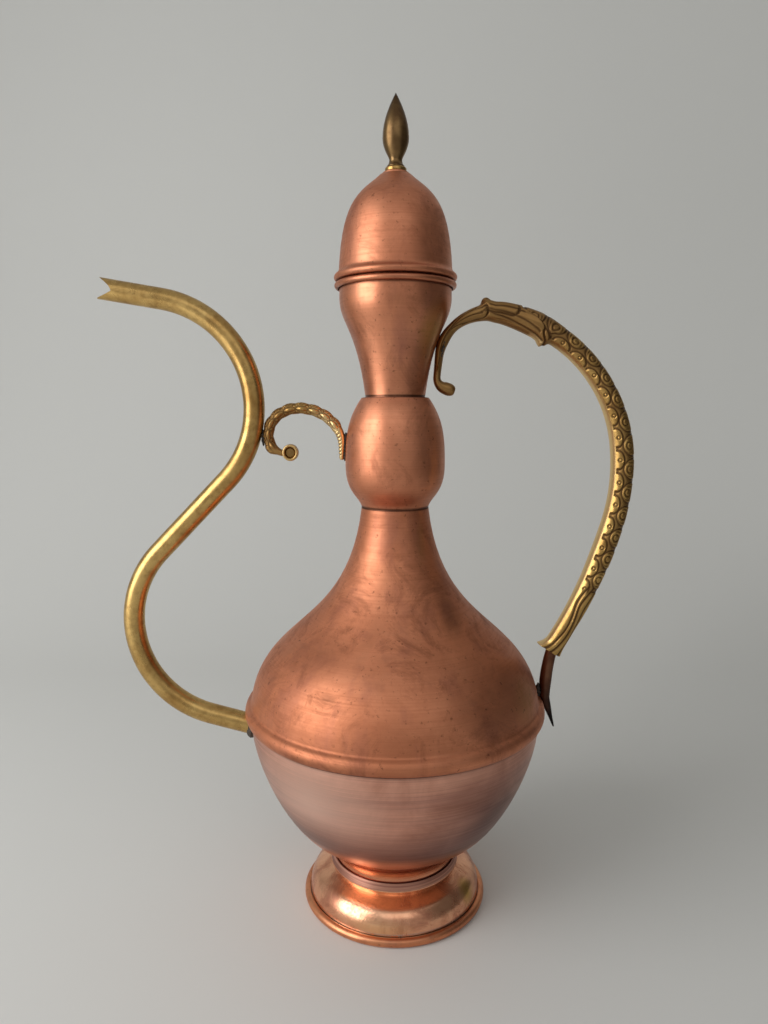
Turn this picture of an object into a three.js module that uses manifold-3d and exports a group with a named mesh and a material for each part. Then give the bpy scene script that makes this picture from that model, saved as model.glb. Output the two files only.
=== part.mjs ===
import * as THREE from "three";
import { mergeVertices } from "three/addons/utils/BufferGeometryUtils.js";
import Module from "manifold-3d";

const wasm = await Module();
wasm.setup();

// A tall copper ewer with a brass spout, brace, handle and finial, in millimetres.
// Z is up and is the ewer's axis. The origin is the middle of the foot's underside.
// The spout reaches towards -X and the handle towards +X.

// Sheet, clearances and facets
const sheet = 1.0;
const fitGap = 0.3;
const bodySides = 28;
const finialSides = 14;
const tubeSides = 12;
const barSides = 12;
const braceSteps = 17;
const tangSteps = 9;
const handleSteps = 12;
const up = 90;

// Foot: a bell-shaped skirt, closed below by a plate whose edge is rolled over its flange
const rimOverhang = 4.7;
const rimRoll = 3.4;
const rimRollEnd = 105;
const flangeWidth = 2.2;
const flangeGap = 0.5;
const skirtRadius = 68.3;
const skirtShoulderRadius = 59;
const skirtShoulderHeight = 24;
const lipRadius = 51.4;
const lipHeight = 30.2;
const lipUndercut = 0.8;
const lipFold = 2.2;
const footHeight = 36;

// Bowl: a round stem that flares into the lower half of the body
const stemRadius = 48.2;
const stemDepth = 4.5;
const stemRise = 2;
const bowlRootRadius = 70;
const bowlRootRise = 25.5;
const bowlRootSlope = 36.6;
const bowlRadius = 111.8;
const bowlDepth = 92.2;
const bowlLap = 4.8;

// Shoulder: the upper half of the body, swaged into a bead that laps over the bowl's edge
const beadProud = 5.2;
const beadHalfHeight = 6.3;
const beadFillet = 1.7;
const shoulderRise = 163.3;
const neckRadius = 25.6;
const spigotHeight = 5;

// Bulb: the swelling between shoulder and neck
const bulbRadius = 37.8;
const bulbBellyRise = 32;
const bulbHeight = 82;
const bulbTopRadius = 25.4;
const bulbSeatRise = 0.4;

// Neck: a funnel with a rolled rim over a wire
const funnelFootRadius = 22.5;
const funnelHeight = 75.6;
const mouthRadius = 41.4;
const neckRollRadius = 2.3;
const neckRollTurn = 275;
const rimRise = 5.6;

// Lid: a tall dome with a swaged bead, a sleeve that plugs the neck, and a finial on a stud
const domeRadius = 41.4;
const domeBeadRadius = 44.8;
const domeBeadHalfHeight = 2.9;
const domeBeadFillet = 2.2;
const domeHeight = 75.2;
const bossRadius = 9.7;
const bossHeight = 1.7;
const bossFillet = 2.2;
const sleeveDrop = 12;
const sleeveRise = 8;
const sleeveTaper = 0.5;
const collarRadius = 6.8;
const collarHeight = 3.1;
const finialFootRadius = 6.2;
const finialFootEdge = 0.8;
const finialWaistRadius = 4.2;
const finialWaistRise = 5;
const finialBudRadius = 8.9;
const finialBudRise = 19.5;
const finialHeight = 50.2;
const studRadius = 2.0;
const studInFinial = 9.5;
const washerRadius = 4.6;
const washerThickness = 0.8;
const nutAcrossFlats = 7;
const nutHeight = 3.2;
const studTail = 2;

// Spout: one drawn tube with two bends, ending in a fish-mouth beak
const spoutDiameter = 15;
const spoutWall = 1.1;
const spoutRootBelow = 13.8;
const spoutRootInside = 3;
const spoutRootHeading = 168.7;
const spoutLowerBend = 84.4;
const spoutLowerTurn = 125.1;
const spoutUpperBend = 81;
const spoutUpperTurn = 125.9;
const spoutRootRun = 29;
const spoutMiddleRun = 61.6;
const spoutBeakRun = 46.5;
const beakNotchDepth = 11.5;
const spoutSteps = 28;
const rootSolderLeg = 3.6;
const rootSolderTail = 2;
const rootSolderEdge = 0.6;
const rootSolderTip = 1;

// Brace: a cast scroll between bulb and spout
const braceFootBelow = 46.8;
const braceFootRun = 11;
const braceCrownShare = 0.585;
const braceRise = 28;
const braceFall = 19.5;
const braceCurlRadius = 15;
const braceCurlTurn = 75;
const braceEyeRadius = 5.5;
const braceEyeWidth = 7.5;
const braceThickness = 7.6;
const braceFootThickness = 3.2;
const braceWidth = 8.5;
const braceSpoutGap = 2.2;
const braceBulbGap = 1.1;

// Handle: a cast bar that leaves the shoulder on a tang and curls down against the neck
const handleContactRise = 36;
const handleNeckGap = 2.1;
const handleNeckThickness = 7.6;
const handleCant = 16.25;
const handleLipRun = 3;
const handleThickness = 16;
const handleWidth = 17;
const lipFlareShare = 1.49;
const hoodBeakShare = 1.45;
const leafTipShare = 1.23;
const handleBackBend = 388;
const handleBackTurn = 16;
const handleSideBend = 157.6;
const handleSideTurn = 19.6;
const handleCrownBend = 114;
const handleCrownTurn = 72.1;
const handleCurlBend = 43;
const handleCurlTurn = 80;
const handleTailTurn = 12;
const handleTailRun = 13;
const handleKnobBend = 7.5;
const handleKnobTurn = 75;
const handleKnobRadius = 4.8;

// Tang: the strap from the shoulder up into the handle's lower end
const tangStandShare = 0.47;
const tangBeadGap = 0.5;
const tangThickness = 9.6;
const tangWidth = 8;
const tangUpperBend = 142;
const tangUpperTurn = 15;
const tangInsert = 7;
const tangStraight = 1.5;
const tangLowerBend = 14;
const tangTipRun = 24;

// Solder drops, as half sizes across the plane and along the joint
const neckDropWidth = 4.5;
const neckDropHeight = 11;
const shoulderDropWidth = 6.5;
const shoulderDropHeight = 6.5;
const bulbDropWidth = 4;
const bulbDropHeight = 12;
const spoutDropWidth = 5.5;
const spoutDropHeight = 6;
const dropDepth = 2.3;

// Levels and radii of the stacked pieces
const rimRadius = skirtRadius + rimOverhang;
const bowlRootZ = footHeight + bowlRootRise;
const seamZ = bowlRootZ + bowlDepth;
const beadZ = seamZ + beadHalfHeight;
const shoulderRadius = bowlRadius - fitGap;
const shoulderFootZ = beadZ + beadHalfHeight + beadFillet;
const shoulderTopZ = seamZ + shoulderRise;
const bulbBellyZ = shoulderTopZ + bulbBellyRise;
const bulbTopZ = shoulderTopZ + bulbHeight;
const mouthZ = bulbTopZ + funnelHeight;
const neckRollZ = mouthZ + rimRise;
const lidZ = neckRollZ + neckRollRadius + fitGap;
const domeTopZ = lidZ + domeHeight;
const collarZ = domeTopZ + bossHeight + fitGap;
const finialZ = collarZ + collarHeight + fitGap;
const mouthBore = mouthRadius - sheet;
const spoutRadius = spoutDiameter / 2;

// Outlines, as radius and height

function at(radius, height) {
  return new THREE.Vector2(radius, height);
}

function heading(degrees) {
  const angle = THREE.MathUtils.degToRad(degrees);
  return at(Math.cos(angle), Math.sin(angle));
}

// A smooth sweep that leaves one point on a heading and reaches the next on another.
// Each pull is a share of the straight distance, and sets how long the sweep keeps its heading.
function sweep(from, fromHeading, fromPull, to, toHeading, toPull, steps) {
  const span = from.distanceTo(to);
  const leave = from.clone().addScaledVector(heading(fromHeading), fromPull * span);
  const arrive = to.clone().addScaledVector(heading(toHeading), -toPull * span);
  return new THREE.CubicBezierCurve(from, leave, arrive, to).getPoints(steps);
}

function arc(centre, radius, fromAngle, toAngle, steps) {
  const points = [];
  for (let i = 0; i <= steps; i += 1) {
    const angle = fromAngle + ((toAngle - fromAngle) * i) / steps;
    points.push(centre.clone().addScaledVector(heading(angle), radius));
  }
  return points;
}

function oval(centre, across, high, fromAngle, toAngle, steps) {
  const circle = arc(at(0, 0), 1, fromAngle, toAngle, steps);
  return circle.map((p) => at(centre.x + across * p.x, centre.y + high * p.y));
}

// The same outline moved sideways: to its right for a positive distance
function offset(points, distance) {
  return points.map((point, i) => {
    const before = points[Math.max(i - 1, 0)];
    const after = points[Math.min(i + 1, points.length - 1)];
    const inward = point.clone().sub(before);
    const outward = after.clone().sub(point);
    const a = inward.lengthSq() > 0 ? inward.normalize() : outward.clone().normalize();
    const b = outward.lengthSq() > 0 ? outward.normalize() : a.clone();
    const along = a.clone().add(b).normalize();
    const stretch = 1 / Math.max(along.dot(a), 0.5);
    return at(point.x + along.y * distance * stretch, point.y - along.x * distance * stretch);
  });
}

function radiusAt(outline, height) {
  for (let i = 1; i < outline.length; i += 1) {
    const low = outline[i - 1];
    const high = outline[i];
    if (height >= low.y && height <= high.y && high.y > low.y) {
      return low.x + ((high.x - low.x) * (height - low.y)) / (high.y - low.y);
    }
  }
  return outline[outline.length - 1].x;
}

// Solids

function revolve(outline, sides = bodySides) {
  const geometry = new THREE.LatheGeometry(outline, sides);
  geometry.rotateX(Math.PI / 2);
  return facingOut(geometry);
}

// A sheet-metal shell from its outer outline, listed from the bottom up
function shell(outer, inner = offset(outer, -sheet)) {
  return revolve([...outer, ...inner.slice().reverse(), outer[0]]);
}

function facingOut(source) {
  source.deleteAttribute("normal");
  source.deleteAttribute("uv");
  const geometry = mergeVertices(source, 1e-4);
  const position = geometry.getAttribute("position");
  const corners = geometry.getIndex().array;
  const a = new THREE.Vector3();
  const b = new THREE.Vector3();
  const c = new THREE.Vector3();
  const kept = [];
  let volume = 0;
  for (let i = 0; i < corners.length; i += 3) {
    const [p, q, r] = [corners[i], corners[i + 1], corners[i + 2]];
    if (p === q || q === r || r === p) continue;
    a.fromBufferAttribute(position, p);
    b.fromBufferAttribute(position, q);
    c.fromBufferAttribute(position, r);
    volume += a.dot(b.cross(c));
    kept.push(p, q, r);
  }
  if (volume < 0) kept.reverse();
  geometry.setIndex(kept);
  return geometry;
}

function toManifold(geometry) {
  const position = geometry.getAttribute("position");
  const mesh = new wasm.Mesh({
    numProp: 3,
    vertProperties: new Float32Array(position.array),
    triVerts: new Uint32Array(geometry.getIndex().array),
  });
  return new wasm.Manifold(mesh);
}

function toGeometry(solid) {
  const mesh = solid.getMesh();
  const geometry = new THREE.BufferGeometry();
  geometry.setAttribute("position", new THREE.BufferAttribute(new Float32Array(mesh.vertProperties), 3));
  geometry.setIndex(new THREE.BufferAttribute(new Uint32Array(mesh.triVerts), 1));
  return geometry;
}

// A run of straights and bends in the plane of spout and handle. A positive turn goes left.
function bentPath(start, startHeading, runs) {
  const path = new THREE.Path();
  path.moveTo(start.x, start.y);
  let here = start.clone();
  let facing = startHeading;
  for (const run of runs) {
    if (run.straight) {
      here = here.clone().addScaledVector(heading(facing), run.straight);
      path.lineTo(here.x, here.y);
    } else {
      const side = Math.sign(run.turn);
      const centre = here.clone().addScaledVector(heading(facing + side * up), run.radius);
      const from = THREE.MathUtils.degToRad(facing - side * up);
      const to = THREE.MathUtils.degToRad(facing - side * up + run.turn);
      path.absarc(centre.x, centre.y, run.radius, from, to, run.turn < 0);
      facing += run.turn;
      here = centre.clone().addScaledVector(heading(facing - side * up), run.radius);
    }
  }
  return { path, end: here, endHeading: facing, length: path.getLength() };
}

class PlaneRoute extends THREE.Curve {
  constructor(path) {
    super();
    this.path = path;
  }

  getPoint(t, target = new THREE.Vector3()) {
    const point = this.path.getPoint(THREE.MathUtils.clamp(t, 0, 1));
    return target.set(point.x, 0, point.y);
  }
}

// A bar through a list of stations. Each station has its share of the length, its reach to
// the left and to the right of the route, and its width across the plane.
function bar(path, stations, steps, extra = 0) {
  const shares = new Set(stations.map((station) => station.share));
  for (let i = 0; i <= steps; i += 1) shares.add(i / steps);
  const rings = [...shares].sort((a, b) => a - b).map((share) => {
    const section = stationAt(stations, share);
    const point = path.getPoint(share);
    const along = path.getTangent(share);
    const side = at(-along.y, along.x);
    const ring = [];
    for (let k = 0; k < barSides; k += 1) {
      const angle = (2 * Math.PI * k) / barSides;
      const reach = Math.cos(angle) > 0 ? section.left : section.right;
      const across = soften(Math.cos(angle)) * (reach + extra);
      const deep = soften(Math.sin(angle)) * (section.width / 2 + extra);
      ring.push(new THREE.Vector3(point.x + side.x * across, deep, point.y + side.y * across));
    }
    return ring;
  });
  return facingOut(loft(rings));
}

const cornerFullness = 0.8;

function soften(value) {
  return Math.sign(value) * Math.abs(value) ** cornerFullness;
}

function stationAt(stations, share) {
  let next = stations.findIndex((station) => station.share >= share);
  if (next < 1) next = 1;
  const low = stations[next - 1];
  const high = stations[next];
  const part = THREE.MathUtils.clamp((share - low.share) / (high.share - low.share), 0, 1);
  return {
    left: THREE.MathUtils.lerp(low.left, high.left, part),
    right: THREE.MathUtils.lerp(low.right, high.right, part),
    width: THREE.MathUtils.lerp(low.width, high.width, part),
  };
}

function loft(rings) {
  const sides = rings[0].length;
  const points = rings.flat();
  const corners = [];
  for (let r = 0; r + 1 < rings.length; r += 1) {
    for (let k = 0; k < sides; k += 1) {
      const next = (k + 1) % sides;
      const [a, b] = [r * sides + k, r * sides + next];
      corners.push(a, b, a + sides, b, b + sides, a + sides);
    }
  }
  for (const [ring, turned] of [[0, false], [rings.length - 1, true]]) {
    const middle = points.length;
    points.push(rings[ring].reduce((sum, p) => sum.add(p), new THREE.Vector3()).divideScalar(sides));
    for (let k = 0; k < sides; k += 1) {
      const [a, b] = [ring * sides + k, ring * sides + ((k + 1) % sides)];
      corners.push(...(turned ? [middle, a, b] : [middle, b, a]));
    }
  }
  const geometry = new THREE.BufferGeometry().setFromPoints(points);
  geometry.setIndex(corners);
  return geometry;
}

function rounded(centre, across, deep, high) {
  const geometry = new THREE.SphereGeometry(1, 10, 6);
  geometry.rotateX(Math.PI / 2);
  geometry.scale(across, deep, high);
  geometry.translate(centre.x, 0, centre.y);
  return toManifold(facingOut(geometry));
}

// Scene graph

const ewer = new THREE.Group();
const copper = { color: 0xb87457, roughness: 0.38, metalness: 1 };
const footCopper = { color: 0xc07a52, roughness: 0.28, metalness: 1 };
const spoutBrass = { color: 0xb8923f, roughness: 0.32, metalness: 1 };
const castBrass = { color: 0x9a7636, roughness: 0.42, metalness: 1 };
const solderGrey = { color: 0x2b2622, roughness: 0.7, metalness: 0.6 };
const tangBrown = { color: 0x5c3b27, roughness: 0.5, metalness: 0.9 };
const wireSteel = { color: 0x8a8a88, roughness: 0.5, metalness: 1 };

function add(name, geometry, finish) {
  const mesh = new THREE.Mesh(geometry, new THREE.MeshStandardMaterial(finish));
  mesh.name = name;
  ewer.add(mesh);
}

// Foot

function basePlate() {
  const middle = at(rimRadius - rimRoll, rimRoll);
  return revolve([
    at(0, 0),
    ...arc(middle, rimRoll, -up, rimRollEnd, 6),
    ...arc(middle, rimRoll - sheet, rimRollEnd, -up, 5),
    at(0, sheet),
  ]);
}

function footSkirt() {
  const shoulderPoint = at(skirtShoulderRadius, skirtShoulderHeight);
  const flangeZ = sheet + flangeGap;
  const outer = [
    at(skirtRadius + flangeWidth, flangeZ + sheet),
    at(skirtRadius, flangeZ + sheet),
    ...sweep(at(skirtRadius, rimRoll * 2), up, 0.41, shoulderPoint, 157, 0.31, 4),
    at(lipRadius - lipUndercut, lipHeight - lipFold),
    at(lipRadius, lipHeight),
    at(stemRadius + fitGap + sheet, footHeight),
  ];
  return shell(outer);
}

add("base_plate", basePlate(), footCopper);
add("foot_skirt", footSkirt(), footCopper);

// Body

const stemFloorZ = footHeight - stemDepth;
const bowlRoot = at(bowlRootRadius, bowlRootZ);
const bowlOuter = [
  at(stemRadius, stemFloorZ),
  ...sweep(at(stemRadius, footHeight + stemRise), up, 0.31, bowlRoot, bowlRootSlope, 0.37, 4),
  ...sweep(bowlRoot, bowlRootSlope, 0.3, at(bowlRadius, seamZ), 99.7, 0.18, 6).slice(1),
  at(bowlRadius, seamZ + bowlLap),
];

const lapRadius = bowlRadius + fitGap + sheet;
const beadDepth = bowlRadius + beadProud - shoulderRadius;
const shoulderTop = at(neckRadius, shoulderTopZ - fitGap);
const shoulderOuter = [
  at(lapRadius, seamZ),
  ...oval(at(shoulderRadius, beadZ), beadDepth, beadHalfHeight, -62, up, 4),
  ...sweep(at(shoulderRadius, shoulderFootZ), 98.8, 0.35, shoulderTop, 96.4, 0.56, 9),
];

const bulbOuter = [
  ...sweep(at(neckRadius, shoulderTopZ), 73.4, 0.25, at(bulbRadius, bulbBellyZ), up, 0.63, 4),
  ...sweep(at(bulbRadius, bulbBellyZ), up, 0.42, at(bulbTopRadius, bulbTopZ), 125, 0.365, 4).slice(1),
];

const funnelOuter = [
  at(funnelFootRadius, bulbTopZ - spigotHeight),
  ...sweep(at(funnelFootRadius, bulbTopZ + sheet), 82.7, 0.71, at(mouthRadius, mouthZ), 93.6, 0.28, 6),
];

function bowl() {
  const inner = offset(bowlOuter, -sheet);
  inner[0].set(stemRadius - sheet, stemFloorZ + sheet);
  const spun = revolve([
    at(0, stemFloorZ),
    ...bowlOuter,
    ...inner.reverse(),
    at(0, stemFloorZ + sheet),
  ]);
  return toGeometry(toManifold(spun).subtract(spoutBore(spoutRadius + fitGap)));
}

function shoulder() {
  const spigotRadius = neckRadius - sheet - fitGap;
  const inner = offset(shoulderOuter, -sheet);
  const top = inner[inner.length - 1];
  top.set(spigotRadius - sheet, top.y - sheet);
  const outer = [
    ...shoulderOuter,
    at(spigotRadius, shoulderTopZ - fitGap),
    at(spigotRadius, shoulderTopZ + spigotHeight),
  ];
  return shell(outer, [...inner, at(spigotRadius - sheet, shoulderTopZ + spigotHeight)]);
}

function neckBulb() {
  const seat = funnelFootRadius + fitGap;
  const inner = offset(bulbOuter, -sheet);
  inner[0].set(neckRadius - sheet, shoulderTopZ);
  inner[inner.length - 1].set(bulbTopRadius - sheet, bulbTopZ - sheet);
  const seatZ = bulbTopZ + bulbSeatRise;
  return shell([...bulbOuter, at(seat, seatZ)], [...inner, at(seat, seatZ - sheet)]);
}

const neckRollCentre = at(mouthBore + neckRollRadius, neckRollZ);

function neckFunnel() {
  const inner = offset(funnelOuter, -sheet);
  const wireSide = neckRollRadius - sheet;
  return revolve([
    ...funnelOuter,
    ...arc(neckRollCentre, wireSide, 180, 180 - neckRollTurn, 5),
    ...arc(neckRollCentre, neckRollRadius, 180 - neckRollTurn, 180, 6),
    ...inner.reverse(),
    funnelOuter[0],
  ]);
}

function neckRimWire() {
  const radius = neckRollRadius - sheet - fitGap;
  return revolve(arc(neckRollCentre, radius, 0, 360, 6));
}

// The space that the vessel takes up, with a margin, for fitting what is soldered to it
function vesselSpace(margin) {
  const filled = [bowlOuter, shoulderOuter, bulbOuter, funnelOuter].map((outline) => {
    const grown = offset(outline, margin);
    return toManifold(revolve([at(0, grown[0].y), ...grown, at(0, grown[grown.length - 1].y)]));
  });
  return filled.reduce((all, one) => all.add(one));
}

// Spout

const spoutRootZ = seamZ - spoutRootBelow;
const bowlWallAtRoot = radiusAt(bowlOuter, spoutRootZ);
const spoutStart = at(-(bowlWallAtRoot - spoutRootInside), spoutRootZ);
const spoutRoute = bentPath(spoutStart, spoutRootHeading, [
  { straight: spoutRootRun },
  { radius: spoutLowerBend, turn: -spoutLowerTurn },
  { straight: spoutMiddleRun },
  { radius: spoutUpperBend, turn: spoutUpperTurn },
  { straight: spoutBeakRun },
]);

// The radius of a polygon that clears a round bar
function clear(radius) {
  return radius / Math.cos(Math.PI / tubeSides);
}

// A straight round bar along the spout's root
function spoutBore(radius) {
  const length = 40;
  const geometry = new THREE.CylinderGeometry(clear(radius), clear(radius), length, tubeSides);
  geometry.rotateZ(Math.PI / 2);
  geometry.rotateY(-THREE.MathUtils.degToRad(spoutRootHeading));
  geometry.translate(spoutStart.x, 0, spoutStart.y);
  return toManifold(facingOut(geometry));
}

function spoutSweep(outerRadius, innerRadius) {
  const section = new THREE.Shape();
  section.absarc(0, 0, outerRadius, 0, 2 * Math.PI);
  if (innerRadius > 0) {
    const hole = new THREE.Path();
    hole.absarc(0, 0, innerRadius, 0, 2 * Math.PI, true);
    section.holes.push(hole);
  }
  const geometry = new THREE.ExtrudeGeometry(section, {
    steps: spoutSteps,
    curveSegments: tubeSides / 2,
    extrudePath: new PlaneRoute(spoutRoute.path),
    bevelEnabled: false,
  });
  return toManifold(facingOut(geometry));
}

// The open jaw of the beak: a wedge through both sides, with a rounded root
function beakJaw() {
  const past = spoutRadius / 2;
  const reach = spoutRadius + past;
  const jaw = new THREE.Shape();
  jaw.moveTo(past, reach);
  jaw.lineTo(0, spoutRadius * 0.95);
  jaw.quadraticCurveTo(-beakNotchDepth, spoutRadius * 0.3, -beakNotchDepth, -spoutRadius * 0.15);
  jaw.quadraticCurveTo(-beakNotchDepth * 0.6, -spoutRadius * 0.6, 0, -spoutRadius * 0.95);
  jaw.lineTo(past, -reach);
  const geometry = new THREE.ExtrudeGeometry(jaw, {
    depth: 4 * spoutRadius,
    curveSegments: 5,
    bevelEnabled: false,
  });
  geometry.translate(0, 0, -2 * spoutRadius);
  geometry.rotateX(Math.PI / 2);
  geometry.scale(1, 1, -1);
  geometry.rotateY(-THREE.MathUtils.degToRad(spoutRoute.endHeading));
  geometry.translate(spoutRoute.end.x, 0, spoutRoute.end.y);
  return toManifold(facingOut(geometry));
}

const spoutTube = spoutSweep(spoutRadius, spoutRadius - spoutWall).subtract(beakJaw());

// The fillet of solder round the tube where it meets the bowl
function rootSolder() {
  const inside = clear(spoutRadius + fitGap);
  const seat = spoutRootInside + rootSolderLeg;
  const ring = new THREE.LatheGeometry([
    at(inside, -rootSolderTail),
    at(inside + rootSolderLeg, -rootSolderTail),
    at(inside + rootSolderLeg, spoutRootInside + rootSolderEdge),
    at(inside + rootSolderLeg * 0.4, seat - rootSolderLeg * 0.4),
    at(inside, seat + rootSolderTip),
    at(inside, -rootSolderTail),
  ], tubeSides);
  ring.rotateZ(-Math.PI / 2);
  ring.rotateY(-THREE.MathUtils.degToRad(spoutRootHeading));
  ring.translate(spoutStart.x, 0, spoutStart.y);
  return toManifold(facingOut(ring)).subtract(vesselSpace(fitGap));
}

// Brace

// The tube's side facing the neck, at a height
function spoutInnerEdge(height) {
  let nearest = null;
  for (let i = 0; i <= 400; i += 1) {
    const point = spoutRoute.path.getPoint(i / 400);
    const along = spoutRoute.path.getTangent(i / 400);
    const edge = at(point.x + along.y * spoutRadius, point.y - along.x * spoutRadius);
    if (!nearest || Math.abs(edge.y - height) < Math.abs(nearest.y - height)) nearest = edge;
  }
  return nearest.x;
}

const braceFootZ = bulbTopZ - braceFootBelow;
const bulbWallAtFoot = radiusAt(bulbOuter, braceFootZ + braceFootRun / 2);
const braceFootX = -(bulbWallAtFoot + braceBulbGap + braceFootThickness / 2);
const braceSideZ = braceFootZ + braceFootRun + braceRise - braceFall;
const braceSideX = spoutInnerEdge(braceSideZ) + braceSpoutGap + braceThickness / 2;
const braceSpan = braceFootX - braceSideX;

function bracePath() {
  const path = new THREE.Path();
  const springZ = braceFootZ + braceFootRun;
  const crownX = braceFootX - braceSpan * braceCrownShare;
  path.moveTo(braceFootX, braceFootZ);
  path.lineTo(braceFootX, springZ);
  path.absellipse(crownX, springZ, braceFootX - crownX, braceRise, 0, Math.PI / 2);
  path.absellipse(crownX, braceSideZ, crownX - braceSideX, braceFall, Math.PI / 2, Math.PI);
  const curlTo = Math.PI + THREE.MathUtils.degToRad(braceCurlTurn);
  path.absarc(braceSideX + braceCurlRadius, braceSideZ, braceCurlRadius, Math.PI, curlTo);
  return path;
}

const braceStations = [
  { share: 0, left: braceFootThickness * 0.4, right: braceFootThickness * 0.4, width: braceWidth * 0.7 },
  { share: 0.09, left: braceFootThickness / 2, right: braceFootThickness / 2, width: braceWidth * 0.85 },
  { share: 0.2, left: braceThickness * 0.45, right: braceThickness * 0.4, width: braceWidth },
  { share: 0.3, left: braceThickness / 2, right: braceThickness / 2, width: braceWidth },
  { share: 0.78, left: braceThickness / 2, right: braceThickness / 2, width: braceWidth },
  { share: 1, left: braceThickness * 0.35, right: braceThickness * 0.4, width: braceWidth * 0.8 },
];

function brace(extra) {
  const path = bracePath();
  const end = path.getPoint(1);
  const facing = path.getTangent(1);
  const eyeCentre = end.clone().addScaledVector(facing, braceEyeRadius * 0.9);
  const strip = toManifold(bar(path, braceStations, braceSteps, extra));
  const lift = at(-facing.y, facing.x).multiplyScalar(braceEyeRadius * 0.35);
  const eyeReach = braceEyeRadius + extra;
  return strip.add(rounded(eyeCentre.add(lift), eyeReach, braceEyeWidth / 2 + extra, eyeReach));
}

// Tang

// It stands off the shoulder's wall and then leans out, to pass the bead with a gap.
const tangGap = beadDepth * tangStandShare;
const tangContact = at(
  radiusAt(shoulderOuter, shoulderFootZ) + tangGap + tangThickness / 2,
  shoulderFootZ,
);
const tangBesideBead = bowlRadius + beadProud + tangBeadGap + tangThickness * 0.36;
const tangLean = Math.atan2(tangBesideBead - tangContact.x, tangContact.y - tangStraight - beadZ);
const tangLowerTurn = THREE.MathUtils.radToDeg(tangLean);
const tangUpRoute = bentPath(tangContact, up, [{ radius: tangUpperBend, turn: -tangUpperTurn }]);
const tangTopHeading = tangUpRoute.endHeading;
const tangRoute = bentPath(
  tangUpRoute.end.clone().addScaledVector(heading(tangTopHeading), tangInsert),
  tangTopHeading + 180,
  [
    { straight: tangInsert },
    { radius: tangUpperBend, turn: tangUpperTurn },
    { straight: tangStraight },
    { radius: tangLowerBend, turn: tangLowerTurn },
    { straight: tangTipRun },
  ],
);

const tangStations = [
  { share: 0, left: tangThickness * 0.42, right: tangThickness * 0.42, width: tangWidth * 0.9 },
  { share: 0.15, left: tangThickness / 2, right: tangThickness / 2, width: tangWidth },
  { share: 0.45, left: tangThickness / 2, right: tangThickness / 2, width: tangWidth },
  { share: 0.63, left: tangThickness * 0.45, right: tangThickness * 0.42, width: tangWidth },
  { share: 0.76, left: tangThickness * 0.3, right: tangThickness * 0.3, width: tangWidth * 0.85 },
  { share: 1, left: tangThickness * 0.06, right: tangThickness * 0.06, width: tangWidth * 0.2 },
];

function tang(extra) {
  return toManifold(bar(tangRoute.path, tangStations, tangSteps, extra));
}

// Handle

const handleContactZ = bulbTopZ + handleContactRise;
const handleContact = at(
  radiusAt(funnelOuter, handleContactZ) + handleNeckGap + handleNeckThickness / 2,
  handleContactZ,
);

// The bar as drawn runs from the tang to the neck; it is turned and scaled to reach both
function handleRuns(scale) {
  return [
    { radius: handleBackBend * scale, turn: handleBackTurn },
    { radius: handleSideBend * scale, turn: handleSideTurn },
    { radius: handleCrownBend * scale, turn: handleCrownTurn },
    { radius: handleCurlBend * scale, turn: handleCurlTurn },
  ];
}

const drawnHeading = tangTopHeading - handleCant;
const drawn = bentPath(at(0, 0), drawnHeading, handleRuns(1));
const spanWanted = handleContact.clone().sub(tangUpRoute.end);
const handleScale = spanWanted.length() / drawn.end.length();
const handleHeading = drawnHeading + THREE.MathUtils.radToDeg(spanWanted.angle() - drawn.end.angle());
const lipStart = tangUpRoute.end.clone().addScaledVector(heading(handleHeading), -handleLipRun);
const handleRoute = bentPath(lipStart, handleHeading, [
  { straight: handleLipRun },
  ...handleRuns(handleScale),
  { radius: handleCurlBend * handleScale, turn: handleTailTurn },
  { straight: handleTailRun },
  { radius: handleKnobBend, turn: handleKnobTurn },
]);

// Sections along the bar, as shares of its thickness and width. Left is the side for the fingers.
const handleStations = [
  { share: 0, left: lipFlareShare, right: 1.04, width: 0.91 },
  { share: 0.0075, left: 1.2, right: 0.97, width: 0.88 },
  { share: 0.0174, left: 0.95, right: 0.88, width: 0.85 },
  { share: 0.0572, left: 0.85, right: 0.85, width: 0.85 },
  { share: 0.1045, left: 0.86, right: 0.93, width: 0.91 },
  { share: 0.1617, left: 0.88, right: 0.97, width: 0.97 },
  { share: 0.2114, left: 0.96, right: 1.05, width: 1 },
  { share: 0.3358, left: 0.93, right: 1, width: 1 },
  { share: 0.4129, left: 0.97, right: 1.02, width: 1 },
  { share: 0.5423, left: 0.9, right: 0.9, width: 0.97 },
  { share: 0.6592, left: 0.89, right: 0.89, width: 0.94 },
  { share: 0.6828, left: 0.91, right: 0.95, width: 0.94 },
  { share: 0.6891, left: hoodBeakShare, right: 0.99, width: 1 },
  { share: 0.7139, left: 1.07, right: 1.05, width: 1 },
  { share: 0.7537, left: 0.99, right: 0.99, width: 0.88 },
  { share: 0.801, left: 0.8, right: 0.88, width: 0.82 },
  { share: 0.8159, left: 0.72, right: leafTipShare, width: 0.79 },
  { share: 0.8234, left: 0.68, right: 0.7, width: 0.74 },
  { share: 0.8532, left: 0.54, right: 0.54, width: 0.65 },
  { share: 0.8831, left: 0.44, right: 0.44, width: 0.59 },
  { share: 0.9154, left: 0.49, right: 0.49, width: 0.59 },
  { share: 0.9428, left: 0.38, right: 0.38, width: 0.56 },
  { share: 0.9726, left: 0.34, right: 0.34, width: 0.53 },
  { share: 0.9826, left: 0.36, right: 0.34, width: 0.53 },
  { share: 0.9913, left: 0.39, right: 0.36, width: 0.53 },
  { share: 1, left: 0.42, right: 0.42, width: 0.53 },
].map((station) => ({
  share: station.share,
  left: (station.left * handleThickness) / 2,
  right: (station.right * handleThickness) / 2,
  width: station.width * handleWidth,
}));

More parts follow.
